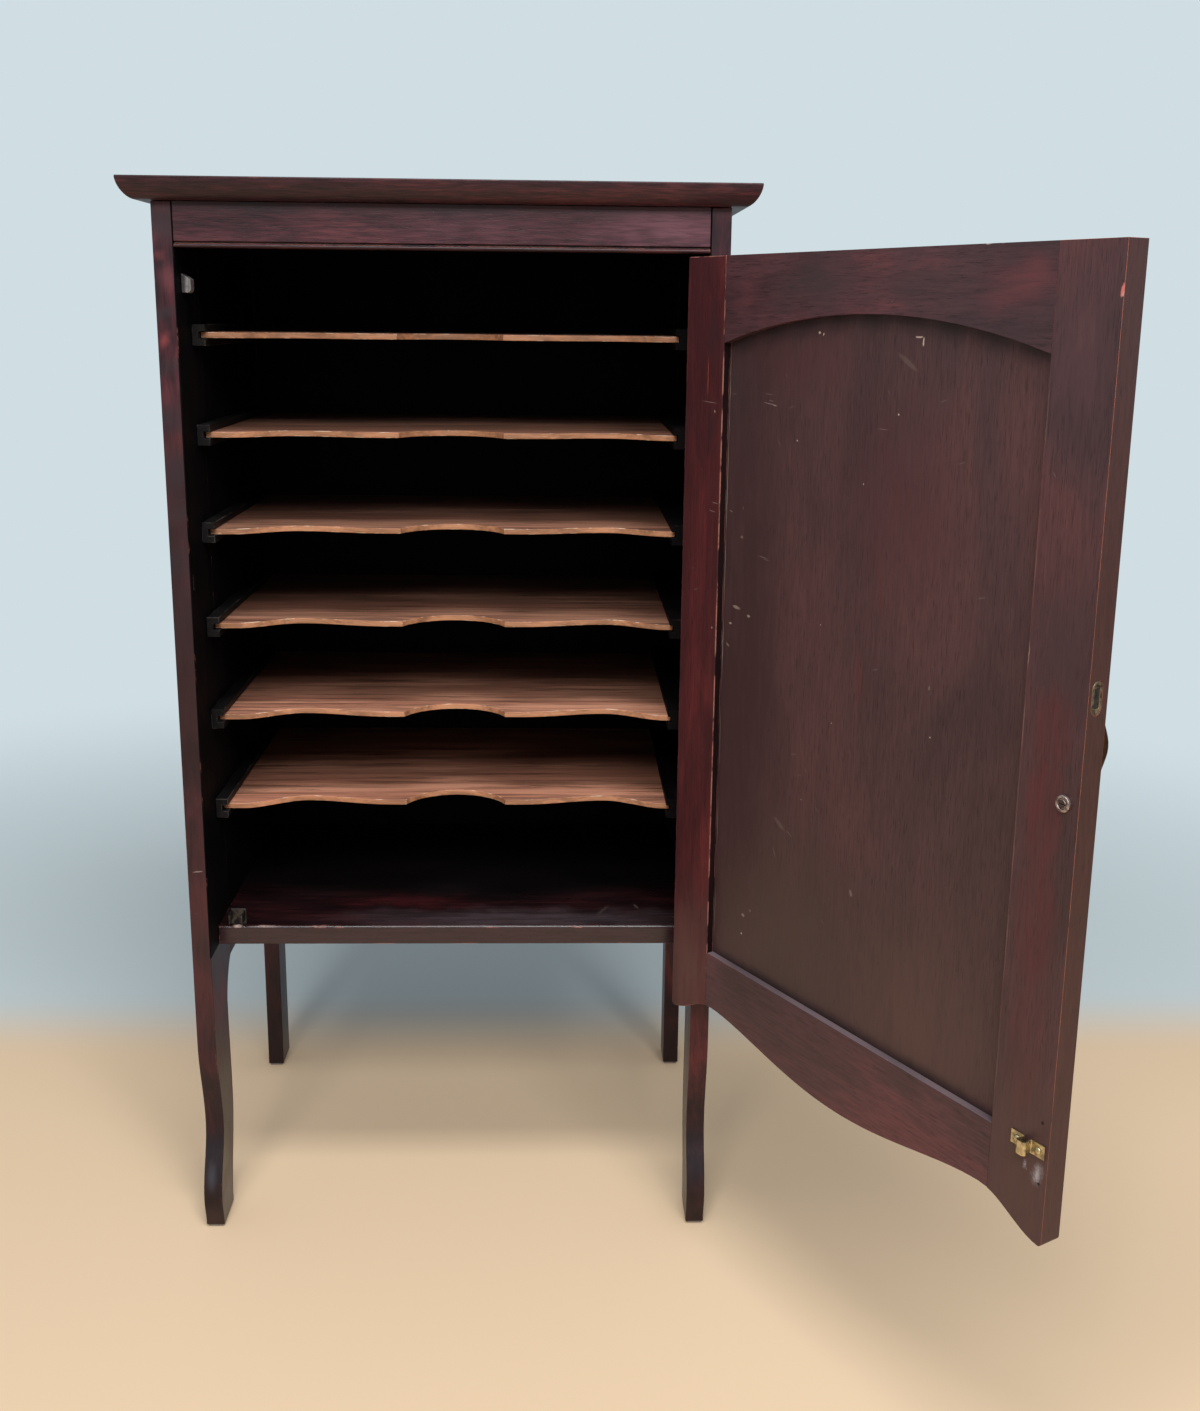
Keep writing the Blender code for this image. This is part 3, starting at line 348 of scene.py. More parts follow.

# Colours of the carcass's patches and edges, with painted shade, a painted glint and a painted reflection
POST_RED = (0.086, 0.0225, 0.0300)
POST_DARK = (0.022, 0.0125, 0.0175)
POST_BROWN = (0.036, 0.0155, 0.0155)
POST_DEEP = (0.020, 0.0070, 0.0090)
POST_RUBBED = (0.170, 0.034, 0.036)
# painted highlight
TOE_GLINT = (0.050, 0.054, 0.068)
FRIEZE_ROSE = (0.140, 0.0560, 0.0800)
FRIEZE_SHADE = (0.017, 0.0100, 0.0150)
BOARD_EDGE = (0.027, 0.0105, 0.0150)
# painted reflection
BOARD_REFLECTION = (0.070, 0.053, 0.061)
BOARD_RED = (0.046, 0.008, 0.009)

# Colours of the trays, the stop block and the pads
TRAY_BROWN = (0.27, 0.116, 0.076)
TRAY_TAN = (0.49, 0.238, 0.156)
TRAY_LINE = (0.080, 0.034, 0.022)
TRAY_END = (0.40, 0.183, 0.088)
TRAY_RUBBED = (0.74, 0.58, 0.44)
TRAY_CHIP = (0.80, 0.72, 0.60)
STOP_DARK = (0.09, 0.088, 0.095)
STOP_PALE = (0.22, 0.215, 0.225)
STOP_SOIL = (0.06, 0.055, 0.06)
FELT_DARK = (0.16, 0.145, 0.13)
FELT_PALE = (0.36, 0.33, 0.30)


# Where the marks are
def patches(colour, *marks):
    """Soft blotches of another tone: stain rubbed thin, darker stain, and at the layers that say so painted shade,
    a painted sheen and a painted reflection.
    """
    return Layer(colour, [Mark(*mark) for mark in marks], core=0.0, scale=26.0, shake=0.045, broken=0.4)


def door_marks(*rows):
    """Marks on the open door, each from its place and its size."""
    return [Mark(on_door(*place), *size) for place, size in rows]


def upright_line(across, wide, rows):
    """Rubbed lengths of one upright line on the door."""
    return [Mark(on_door(across, level), long, wide, 0, strength) for level, long, strength in rows]


PANEL_CHIPS = door_marks(
    ((0.1706, 0.9024), (0.0022, 0.0034)), ((0.1756, 0.9012), (0.0028, 0.0018, -30)),
    ((0.2826, 0.9008), (0.0016, 0.0095)), ((0.2873, 0.8975), (0.0080, 0.0018)),
    ((0.2655, 0.8435), (0.0020, 0.0020)), ((0.2719, 0.8825), (0.0050, 0.0300, -30, 0.07)),
    ((0.1481, 0.8154), (0.0018, 0.0020, 0, 0.9)), ((0.2305, 0.7879), (0.0018, 0.0014, 0, 0.8)),
    ((0.0784, 0.7267), (0.0030, 0.0050, 0, 0.20)),
    ((0.0735, 0.6637), (0.0034, 0.0130, -6, 0.36)), ((0.0913, 0.6587), (0.0030, 0.0055, 0, 0.40)),
    ((0.0657, 0.6479), (0.0024, 0.0050, 0, 0.55)), ((0.1870, 0.6680), (0.0014, 0.0014, 0, 0.8)),
    ((0.0630, 0.6277), (0.0026, 0.0060, -30, 0.25)), ((0.2062, 0.5885), (0.0014, 0.0014, 0, 0.7)),
    ((0.3187, 0.6039), (0.0016, 0.0016, 0, 0.7)), ((0.3144, 0.6416), (0.0045, 0.0022, -15, 0.20)),
    ((0.2397, 0.4507), (0.0075, 0.0040, 20, 0.20)), ((0.0980, 0.3809), (0.0040, 0.0055, 0, 0.28)),
    ((0.0966, 0.3624), (0.0020, 0.0022, 0, 0.80)), ((0.1079, 0.3887), (0.0030, 0.0040, 0, 0.14)),
    ((0.1441, 0.4829), (0.0060, 0.0200, -30, 0.07)), ((0.1582, 0.4779), (0.0012, 0.0110, -25, 0.14)),
    ((0.1387, 0.4552), (0.0014, 0.0120, -60, 0.10)), ((0.1722, 0.5129), (0.0016, 0.0020, 0, 0.40)))
PANEL_SCRATCHES = door_marks(
    ((0.1090, 0.8512), (0.0008, 0.015, -2, 0.35)), ((0.1129, 0.8459), (0.0008, 0.009, -8, 0.50)),
    ((0.1102, 0.8434), (0.0010, 0.021, -6, 0.60)), ((0.1170, 0.8424), (0.0011, 0.009, -8, 0.85)),
    ((0.0619, 0.8491), (0.0008, 0.008, 0, 0.30)), ((0.1088, 0.7132), (0.0010, 0.018, -4, 0.35)),
    ((0.1130, 0.7115), (0.0008, 0.012, -4, 0.30)), ((0.2493, 0.8314), (0.0010, 0.016, 0, 0.25)),
    ((0.0620, 0.7478), (0.0010, 0.007, -10, 0.60)), ((0.0789, 0.7522), (0.0050, 0.0010, 0, 0.40)))
ARCH_PLACES = [STILE_WIDTH + 0.020 + 0.040 * i for i in range(9)]
# Painted shade: dark bands along the lower edge of the arched top rail and along the top of the bottom rail, where
# the rails shade the panel
ARCH_SHADE = [Mark(on_door(across, arch_level(across)), 0.034, 0.075, arch_slope(across), 0.75)
              for across in ARCH_PLACES]
SILL_SHADE = [Mark(on_door(across, SILL), 0.022, 0.26, 0, 0.7) for across in (0.13, 0.235, 0.34)]
PANEL_WEAR = upright_line(STILE_WIDTH + 0.0009, 0.0014, (
    (0.850, 0.130, 0.8), (0.770, 0.110, 1.0), (0.690, 0.100, 0.8), (0.620, 0.090, 0.9),
    (0.540, 0.090, 0.6), (0.460, 0.080, 0.5), (0.370, 0.060, 0.4)))
PANEL_LAYERS = (
    patches(PANEL_RED, (on_door(0.270, 0.780), 0.26, 0.20, 0, 0.6),
            (on_door(0.150, 0.880), 0.10, 0.20, 0, 0.5)),
    # painted sheen: the panel lighter towards its lower right
    patches(PANEL_SHEEN, (on_door(0.320, 0.350), 0.30, 0.24, 0, 0.9)),
    patches(PANEL_OLIVE, (on_door(0.150, 0.370), 0.34, 0.30, 0, 0.9)),
    # painted shade at the panel's top left, beside the hinge stile and under the arch
    patches(PANEL_TOP_SHADE, (on_door(0.070, 0.850), 0.16, 0.07, 0, 0.8),
            (on_door(0.160, 0.915), 0.04, 0.14, 0, 0.5)),
    Layer(PANEL_SHADE, [Mark(on_door(0.080, 0.640), 0.70, 0.16, 0, 1.0)],
          core=0.2, scale=26.0, shake=0.045, broken=0.3),
    # painted shade below the arch and above the sill
    Layer(PAINTED_SHADE, ARCH_SHADE + SILL_SHADE, core=0.0, scale=90.0, shake=0.006),
    Layer(PANEL_LINE, PANEL_WEAR, core=0.3, scale=260.0, shake=0.0012, broken=0.5),
    Layer(PANEL_STREAK, door_marks(((0.2360, 0.6340), (0.060, 0.0090, 4, 0.55)),
                                   ((0.2560, 0.7050), (0.080, 0.0060, 7, 0.30))),
          core=0.1, scale=120.0, shake=0.006),
    Layer(SCRATCH, PANEL_SCRATCHES, core=0.2, scale=300.0, shake=0.0006),
    Layer(CHIPPED, PANEL_CHIPS))

HINGE_LAYERS = (
    patches(HINGE_TAN, (on_door(0.025, 0.300), 0.22, 0.12, 0, 1.0)),
    # painted shade on the upper part of the hinge stile, darkest at its top
    patches(HINGE_TOP_SHADE, (on_door(0.042, 0.900), 0.08, 0.030, 0, 0.8),
            (on_door(0.042, 0.815), 0.07, 0.026, 0, 0.8), (on_door(0.030, 0.960), 0.05, 0.060, 0, 0.3)),
    Layer(STREAK_ORANGE, door_marks(((0.0329, 0.8630), (0.040, 0.0014, 0, 0.7)))),
    Layer(SCRATCH, door_marks(((0.0360, 0.8411), (0.0010, 0.0300, -3, 0.40)),
                              ((0.0482, 0.7538), (0.0010, 0.0130, -5, 0.50)),
                              ((0.0442, 0.7462), (0.0010, 0.0134, -5, 0.50))),
          core=0.2, scale=300.0, shake=0.0006),
    Layer(CHIPPED, door_marks(((0.0439, 0.8333), (0.0030, 0.0022, 0, 0.5)),
                              ((0.0483, 0.6414), (0.0020, 0.0030, 0, 0.4)))))

LOCK_WEAR = upright_line(0.4150, 0.0010, (
    (0.850, 0.070, 0.3), (0.760, 0.110, 0.3), (0.688, 0.026, 0.8), (0.640, 0.060, 0.5),
    (0.560, 0.120, 0.45), (0.470, 0.080, 0.3), (0.390, 0.090, 0.25)))
LOCK_LAYERS = (
    patches(LOCK_ROSE, (on_door(0.4420, 0.890), 0.14, 0.070, 0, 0.8)),
    patches(LOCK_TAN, (on_door(0.4420, 0.310), 0.24, 0.120, 0, 1.0)),
    patches(LOCK_DIM, (on_door(0.4420, 0.700), 0.18, 0.120, 0, 0.7)),
    Layer(DOOR_RED, door_marks(((0.4410, 0.640), (0.080, 0.044, 0, 0.42)),
                               ((0.4390, 0.580), (0.120, 0.044, 0, 0.52)),
                               ((0.4400, 0.500), (0.160, 0.048, 0, 0.38)),
                               ((0.4400, 0.410), (0.160, 0.044, 0, 0.25))),
          core=0.45, scale=60.0, shake=0.012, broken=0.5),
    Layer(WORN_LINE, LOCK_WEAR, core=0.3, scale=260.0, shake=0.0012, broken=0.6),
    Layer(CHIP_PINK, door_marks(((0.4676, 0.9327), (0.0110, 0.0036, -8)))),
    Layer(CHIPPED, door_marks(((0.4682, 0.9300), (0.0040, 0.0024, 0, 0.8))),
          core=0.1, scale=400.0, shake=0.004),
    Layer(SCUFF_WHITE, door_marks(((0.4600, 0.3105), (0.0250, 0.0130, -12, 0.50)),
                                  ((0.4590, 0.3080), (0.0160, 0.0060, -12, 0.75)),
                                  ((0.4480, 0.3125), (0.0100, 0.0040, 0, 0.35))),
          core=0.0, scale=520.0, shake=0.0060, broken=0.5),
    Layer(HOLE, door_marks(((0.4610, 0.3520), (0.0036, 0.0036)), ((0.4620, 0.3035), (0.0030, 0.0030)))))

TOP_RAIL_LAYERS = (
    patches(RAIL_RED, (on_door(0.385, 0.936), 0.10, 0.060, 0, 0.8),
            (on_door(0.085, 0.932), 0.06, 0.040, 0, 0.5)),
    patches(RAIL_DIM, (on_door(0.170, 0.940), 0.12, 0.060, 0, 0.9),
            (on_door(0.280, 0.938), 0.14, 0.050, 0, 0.8)),
    Layer(CHIPPED, door_marks(((0.3520, 0.9646), (0.0080, 0.0020, 0, 0.8)),
                              ((0.3650, 0.9650), (0.0060, 0.0016, 0, 0.8))),
          core=0.3, scale=500.0, shake=0.002))


def on_post(level, x=-0.246):
    """A point on the front of the left post, by default on its middle line."""
    return on_cabinet(x, 0.0, level)


POST_PATCHES = ((0.945, 0.040, 0.9), (0.840, 0.050, 0.5), (0.740, 0.060, 0.5), (0.460, 0.060, 0.4))
POST_BANDS = ((0.990, 0.050, 0, 0.9), (0.912, 0.016, 28, 0.7), (0.866, 0.022, 28, 0.7),
              (0.820, 0.040, 20, 0.8), (0.772, 0.050, 15, 0.8), (0.733, 0.022, 20, 0.6),
              (0.686, 0.040, 10, 0.7), (0.640, 0.120, 0, 0.3))
POST_LAYERS = (
    patches(POST_RED, *((on_post(level), long, 0.034, 0, strength)
                        for level, long, strength in POST_PATCHES)),
    Layer(POST_DEEP, [Mark(on_post(0.650), 0.40, 0.10, 0, 0.9)],
          core=0.5, scale=26.0, shake=0.045, broken=0.3),
    patches(POST_BROWN, (on_post(0.300), 0.40, 0.10, 0, 0.75)),
    Layer(POST_DARK, [Mark(on_post(level), long, 0.050, turn, strength)
                      for level, long, turn, strength in POST_BANDS],
          core=0.2, scale=60.0, shake=0.010, broken=0.3),
    Layer(POST_RUBBED, [Mark(on_post(0.889, -0.2485), 0.024, 0.012, -20, 0.8),
                        Mark(on_post(0.962, -0.2500), 0.014, 0.012, 0, 0.6)],
          core=0.0, scale=120.0, shake=0.006, broken=0.4),
    # painted highlight: a bluish-grey glint on the toe's rounded front
    Layer(TOE_GLINT, [Mark(on_post(0.056, -0.247), 0.040, 0.015, 0, 0.6)],
          core=0.0, scale=60.0, shake=0.004),
    Layer(POST_BROWN, [Mark(on_post(0.010), 0.036, 0.050, 0, 0.9)], core=0.0, scale=60.0, shake=0.008),
    Layer(CHIPPED, [Mark(on_post(0.386, -0.245), 0.0016, 0.012, 5, 0.35)]))

FRIEZE_LAYERS = (
    patches(FRIEZE_ROSE, (on_cabinet(0.200, 0.0, 0.990), 0.20, 0.06, 0, 0.9),
            (on_cabinet(0.020, 0.0, 0.990), 0.22, 0.05, 0, 0.3)),
    Layer(FRIEZE_SHADE, [Mark(on_cabinet(x, 0.0, FRIEZE_TOP), 0.34, 0.030, 0, 0.7)
                         for x in (-0.16, 0.0, 0.16)],
          core=0.1, scale=40.0, shake=0.010, broken=0.3))


def on_board(x, y):
    """A point on the bottom board."""
    return on_cabinet(x, y, BOARD_TOP)


BOTTOM_LAYERS = (
    # painted shade: the back of the bottom board, inside the case, near black
    Layer(NEAR_BLACK, [Mark(on_board(0.0, 0.220), 0.80, 0.28, 0, 0.95)],
          core=0.6, scale=26.0, shake=0.030),
    # painted reflection: a pale bluish-grey band along the front of the bottom board
    patches(BOARD_REFLECTION, (on_board(0.07, 0.055), 0.56, 0.07, 0, 0.8)),
    patches(BOARD_RED, (on_board(-0.06, 0.100), 0.20, 0.05, 0, 0.8)),
    Layer(CHIPPED, [Mark(on_board(-0.217, 0.037), 0.0110, 0.0060, 0, 0.8),
                    Mark(on_board(-0.190, 0.0360), 0.0400, 0.0020, 0, 0.3),
                    Mark(on_board(0.150, 0.075), 0.0060, 0.0400, -25, 0.05),
                    Mark(on_board(0.185, 0.085), 0.0040, 0.0220, 20, 0.10)],
          core=0.2, scale=300.0, shake=0.005))
TRAY_CHIPS = Layer(TRAY_CHIP, [Mark(on_cabinet(0.107, 0.068, middle("tray_2").z), 0.016, 0.006)],
                   core=0.4, scale=500.0, shake=0.006)


# Finishes
def stain(shader, place, tones, grain, streak):
    """Mottled stain and the figure of the wood: the colour, the mottle, the figure, and their blend."""
    mottle = grain_noise(shader, place, grain.mottle, 3.0, 0.5, 0.6)
    figure = grain_noise(shader, place, grain.figure, 3.0, 0.55, 0.35)
    blend = shader.math("ADD", shader.math("MULTIPLY", mottle, 1.0 - streak),
                        shader.math("MULTIPLY", figure, streak))
    colour = shader.mix(shader.step(blend, 0.38, 0.53), tones.dark, tones.middle)
    colour = shader.mix(shader.step(blend, 0.50, 0.64), colour, tones.warm)
    return colour, mottle, figure, blend


def side_tones(shader, colour, edge, rear, toe):
    """Other tones on the edges, on the rear face and towards the toe, where they are given."""
    if edge:
        side = shader.math("ABSOLUTE", shader.axes(shader.normal)["Y"])
        colour = shader.mix(shader.step(side, 0.6, 0.9, 0.0, 0.9), colour, edge)
    if rear:
        behind = shader.step(shader.axes(shader.normal)["Z"], -0.3, -0.7, 0.0, 0.85)
        colour = shader.mix(behind, colour, rear)
    if toe is not None:
        level = shader.math("SUBTRACT", shader.axes(shader.place)["X"], toe)
        colour = shader.mix(shader.step(level, 0.14, 0.03, 0.0, 0.8), colour, PORE)
    return colour


def bare_arrises(shader, place):
    """A mask of the arrises, rubbed bare as far as the piece's wear says."""
    wear = shader.attribute("wear", "OBJECT")
    bare = shader.noise(place, (34.0, 70.0, 70.0), 4.0, 0.65)
    bare = shader.step(shader.math("ADD", bare, shader.math("MULTIPLY", wear, 0.3)), 0.60, 0.72)
    bare = shader.math("MULTIPLY", bare, shader.attribute("arris"))
    return shader.math("MULTIPLY", bare, shader.step(wear, 0.0, 0.4, 0.15, 0.9))


def handling(shader, place, scuff):
    """Masks of fine scratches in two directions and of small chipped specks."""
    fine = shader.math("MAXIMUM", scratches(shader, place, 74.0, 0.026, 0.0004, 0.10 * scuff),
                       scratches(shader, place, -38.0, 0.018, 0.0004, 0.08 * scuff))
    reach, chance = shader.cells(place, (30.0, 30.0, 30.0))
    specks = shader.math("MULTIPLY", shader.step(reach, 0.032, 0.018),
                         shader.math("LESS_THAN", chance, 0.05 * scuff))
    return fine, specks


def polished_wood(name, tones, gloss, grain=BOLD, streak=0.45, fibre=0.20, scuff=1.0, specular=0.5,
                  marked=None, layers=(), edge=None, rear=None, dust_and_sheen=0.0, toe=None, bare_wood=BARE_WOOD):
    """Old polished mahogany: mottled stain, figure, fibres and pores, worn arrises, scratches and specks, and
    where asked dust with a painted sheen on faces that look up.
    """
    shader = Shader(name)
    place = seeded(shader)
    colour, mottle, figure, blend = stain(shader, place, tones, grain, streak)
    colour = side_tones(shader, colour, edge, rear, toe)
    fibres = grain_noise(shader, place, grain.fibre, 4.0, 0.7)
    pores = shader.step(shader.noise(place, (75.0, 900.0, 900.0), 2.0), 0.56, 0.68)
    colour = shader.shaded(colour, shader.step(fibres, 0.30, 0.70, 1.0 - fibre, 1.0 + fibre))
    colour = shader.mix(shader.math("MULTIPLY", pores, 0.4), colour, PORE)
    if dust_and_sheen:
        # dust, with a painted sheen: faces that look up made lighter
        dust_and_sheen_mask = shader.math("MULTIPLY", shader.step(shader.axes(shader.normal)["Y"], 0.7, 0.95),
                              shader.step(mottle, 0.3, 0.6, 0.5 * dust_and_sheen, dust_and_sheen))
        colour = shader.mix(dust_and_sheen_mask, colour, DUST_AND_SHEEN)
    bare = bare_arrises(shader, place)
    colour = shader.mix(bare, colour, bare_wood)
    fine, specks = handling(shader, place, scuff)
    colour = shader.mix(shader.math("MULTIPLY", fine, 0.25), colour, SCUFFED)
    colour = shader.mix(shader.math("MULTIPLY", specks, 0.5), colour, CHIPPED)
    dull = shader.math("MAXIMUM", fine, bare)
    for layer in layers:
        mask = mark_mask(shader, layer, grain_frame(*marked).inverted())
        if layer.broken:
            mask = shader.math("MULTIPLY", mask, shader.step(figure, 0.35, 0.6, 1.0 - layer.broken, 1.0))
        colour = shader.mix(mask, colour, layer.colour)
        dull = shader.math("MAXIMUM", dull, mask)
    sheen = shader.step(blend, 0.35, 0.65, gloss - 0.05, gloss + 0.06)
    shader.bump(shader.math("SUBTRACT", fibres, shader.math("MULTIPLY", pores, 0.6)), 0.20, 0.0004)
    return shader.finish(base_color=colour, specular_ior_level=specular,
                         roughness=shader.math("ADD", sheen, shader.math("MULTIPLY", dull, 0.12)))


def tray_grain(shader, place):
    """Straight grain, darkened further in as painted shade: the colour, the fibres and the dark lines."""
    fibres = grain_noise(shader, place, (4.5, 100.0), 7.0, 0.78, 0.2)
    bands = grain_noise(shader, place, (1.8, 19.0), 5.0, 0.62, 0.5)
    lines = shader.step(grain_noise(shader, place, (8.0, 130.0), 6.0, 0.72, 0.1), 0.54, 0.60)
    colour = shader.mix(shader.step(bands, 0.40, 0.60), TRAY_BROWN, TRAY_TAN)
    colour = shader.shaded(colour, shader.step(fibres, 0.36, 0.64, 0.52, 1.44))
    colour = shader.mix(shader.math("MULTIPLY", lines, 0.60), colour, TRAY_LINE)
    # painted shade: the board darkens further in, behind a ragged line, where the tray above shades it
    ragged = shader.math("ADD", shader.math("MULTIPLY", bands, 0.24), shader.math("MULTIPLY", fibres, 0.20))
    depth = shader.math("ADD", shader.axes(shader.place)["Y"], ragged)
    shaded_inward = shader.step(depth, TRAY_FRONT + 0.220, TRAY_FRONT + 0.360)
    colour = shader.mix(shaded_inward, colour, shader.shaded(colour, 0.40))
    # scaled by the tray's painted light
    return shader.shaded(colour, shader.attribute("pale", "OBJECT")), fibres, lines


def tray_rubs(shader, place):
    """A mask of the rubbed arrises and of specks along the front."""
    rubbed = shader.step(shader.noise(place, (70.0, 150.0, 150.0), 4.0, 0.7), 0.52, 0.62)
    front = shader.step(shader.axes(shader.place)["Y"], TRAY_FRONT + 0.030, TRAY_FRONT, 0.0, 0.6)
    reach, chance = shader.cells(place, (90.0, 260.0, 260.0))
    specks = shader.math("MULTIPLY", shader.step(reach, 0.22, 0.10), shader.math("LESS_THAN", chance, 0.16))
    return shader.math("MAXIMUM", shader.math("MULTIPLY", rubbed, shader.attribute("arris")),
                       shader.math("MULTIPLY", specks, front))


def tray_wood():
    """Thin boards, pale where hands have worn the front and darker further in as painted shade, with end grain on
    their edges.
    """
    shader = Shader("tray_board")
    place = seeded(shader)
    colour, fibres, lines = tray_grain(shader, place)
    upright = shader.math("ABSOLUTE", shader.axes(shader.normal)["Z"])
    end_grain = shader.shaded(TRAY_END, shader.step(fibres, 0.34, 0.66, 0.60, 1.30))
    colour = shader.mix(shader.step(upright, 0.85, 0.45, 0.0, 0.7), colour, end_grain)
    colour = shader.mix(shader.math("MULTIPLY", tray_rubs(shader, place), 0.7), colour, TRAY_RUBBED)
    chips = mark_mask(shader, TRAY_CHIPS, grain_frame("tray_2", *FLAT).inverted())
    colour = shader.mix(chips, colour, TRAY_CHIPS.colour)
    shader.bump(shader.math("SUBTRACT", fibres, shader.math("MULTIPLY", lines, 0.6)), 0.35, 0.0005)
    return shader.finish(base_color=colour, roughness=shader.step(fibres, 0.3, 0.7, 0.42, 0.58))


def metal(name, bright, tarnish, gloss, share, eye=0.0):
    """Old metal: bright where it is rubbed, dull in blotches, along fine lines and within an eye's radius."""
    shader = Shader(name)
    blotch = shader.noise(shader.place, (190.0, 190.0, 190.0), 4.0, 0.6, 0.4)
    rubbed = shader.noise(shader.place, (200.0, 2600.0, 2600.0), 2.0)
    dull = shader.step(blotch, 0.38, 0.66, 0.0, share)
    dull = shader.math("MULTIPLY", dull, shader.step(shader.attribute("arris"), 0.0, 1.0, 1.0, 0.25))
    if eye:
        radius = shader.vector("LENGTH", shader.vector("MULTIPLY", shader.place, (1.0, 1.0, 0.0)))
        dull = shader.math("MAXIMUM", dull, shader.step(radius, eye, 0.8 * eye, 0.0, 0.97))
    sheen = shader.step(rubbed, 0.35, 0.7, gloss - 0.05, gloss + 0.07)
    shader.bump(rubbed, 0.10, 0.0001)
    return shader.finish(base_color=shader.mix(dull, bright, tarnish), metallic=1.0,
                         roughness=shader.math("ADD", sheen, shader.math("MULTIPLY", dull, 0.22)))


def felt_pad():
    """Fuzzy grey felt."""
    shader = Shader("felt_pad")
    fuzz = shader.noise(shader.place, (1500.0, 1500.0, 1500.0), 4.0, 0.7)
    shader.bump(fuzz, 0.5, 0.0004)
    return shader.finish(base_color=shader.mix(shader.step(fuzz, 0.35, 0.7), FELT_DARK, FELT_PALE),
                         roughness=0.95)


def stop_wood():
    """The stop block's bare wood, grey with handling, with painted shade darkening its left half."""
    shader = Shader("grey_block")
    place = seeded(shader)
    grain = shader.noise(place, (60.0, 500.0, 500.0), 4.0, 0.6)
    soil = shader.noise(place, (120.0, 120.0, 120.0), 3.0)
    colour = shader.mix(shader.step(grain, 0.3, 0.7), STOP_DARK, STOP_PALE)
    colour = shader.mix(shader.step(soil, 0.5, 0.7, 0.0, 0.7), colour, STOP_SOIL)
    # painted shade: the left half of the block darker
    shaded_left_half = shader.step(shader.axes(shader.place)["Y"], -0.0004, 0.0016, 0.0, 0.8)
    colour = shader.mix(shaded_left_half, colour, PAINTED_SHADE)
    shader.bump(grain, 0.3, 0.0003)
    return shader.finish(base_color=colour, roughness=shader.step(grain, 0.3, 0.7, 0.40, 0.60))


SIDE_WOOD = polished_wood("side_mahogany", SIDE_TONES, gloss=0.36, streak=0.5, fibre=0.30, specular=0.25)
TOP_WOOD = polished_wood("top_mahogany", TOP_TONES, gloss=0.36, grain=FINE, streak=0.5, fibre=0.30,
                         specular=0.25)
FRIEZE_WOOD = polished_wood("frieze_mahogany", FRIEZE_TONES, gloss=0.36, grain=FINE, streak=0.5, fibre=0.30,
                            specular=0.25, marked=("frieze_rail", *HEAD), layers=FRIEZE_LAYERS)
POST_WOOD = polished_wood("post_mahogany", CARCASS_TONES, gloss=0.34, grain=MOTTLED, streak=0.3,
                          specular=0.3, toe=SOLE)
MARKED_POST_WOOD = polished_wood("marked_post_mahogany", CARCASS_TONES, gloss=0.34, grain=MOTTLED, streak=0.3,
                                 specular=0.3, toe=SOLE, marked=("front_post_left", *POST),
                                 layers=POST_LAYERS)
BOTTOM_WOOD = polished_wood("bottom_mahogany", BOTTOM_TONES, gloss=0.22, edge=BOARD_EDGE,
                            marked=("bottom_board", *FLAT), layers=BOTTOM_LAYERS)
TOP_RAIL_WOOD = polished_wood("top_rail_mahogany", DOOR_TONES, gloss=0.38, grain=QUIET, streak=0.2,
                              specular=0.28, marked=("door_top_rail", *RAIL), layers=TOP_RAIL_LAYERS)
BOTTOM_RAIL_WOOD = polished_wood("bottom_rail_mahogany", DOOR_TONES, gloss=0.38, grain=QUIET, streak=0.2,
                                 specular=0.28, dust_and_sheen=0.55)
# side faces near black
HINGE_STILE_WOOD = polished_wood("hinge_stile_mahogany", RED_TONES, gloss=0.38, streak=0.30, fibre=0.15,
                                 specular=0.16, edge=NEAR_BLACK, rear=DOOR_TONES.middle,
                                 bare_wood=PALE_ARRIS, marked=("door_hinge_stile", *STILE),
                                 layers=HINGE_LAYERS)
LOCK_STILE_WOOD = polished_wood("lock_stile_mahogany", STILE_TONES, gloss=0.38, grain=QUIET, streak=0.12,
                                fibre=0.15, specular=0.28, edge=EDGE_BROWN, bare_wood=BRIGHT_ARRIS,
                                marked=("door_lock_stile", *STILE), layers=LOCK_LAYERS)
PANEL_WOOD = polished_wood("panel_mahogany", PANEL_TONES, gloss=0.42, grain=QUIET, streak=0.12, fibre=0.14,
                           scuff=2.0, specular=0.28, marked=("door_panel", *STILE), layers=PANEL_LAYERS)
# dark stain and painted shade, for the faces inside the case and the right runner
INNER_SHADED_WOOD = polished_wood("stained_and_shaded_inner_wood", INNER_TONES, gloss=0.60, scuff=0.0, specular=0.05)
RUNNER_WOOD = polished_wood("dark_runner_wood", RUNNER_TONES, gloss=0.50, scuff=2.0, specular=0.12,
                            bare_wood=RUNNER_WORN)
BACK_WOOD = polished_wood("plain_back_wood", BACK_TONES, gloss=0.62, streak=0.4, fibre=0.25)
TRAY_WOOD = tray_wood()
STOP_WOOD = stop_wood()
BRASS = metal("old_brass", bright=(0.60, 0.51, 0.31), tarnish=(0.20, 0.16, 0.10), gloss=0.30, share=0.85)
DULL_BRASS = metal("dull_brass", bright=(0.38, 0.28, 0.17), tarnish=(0.14, 0.10, 0.065), gloss=0.42,
                   share=0.8)
NICKEL = metal("worn_nickel", bright=(0.50, 0.40, 0.37), tarnish=(0.085, 0.06, 0.055), gloss=0.42,
               share=0.95, eye=NUT_EYE)
PLATE_BRONZE = metal("plate_bronze", bright=(0.30, 0.24, 0.17), tarnish=(0.040, 0.030, 0.024), gloss=0.40,
                     share=0.95)
BRONZE = metal("dark_bronze", bright=(0.075, 0.036, 0.024), tarnish=(0.030, 0.016, 0.012), gloss=0.36,
               share=0.8)
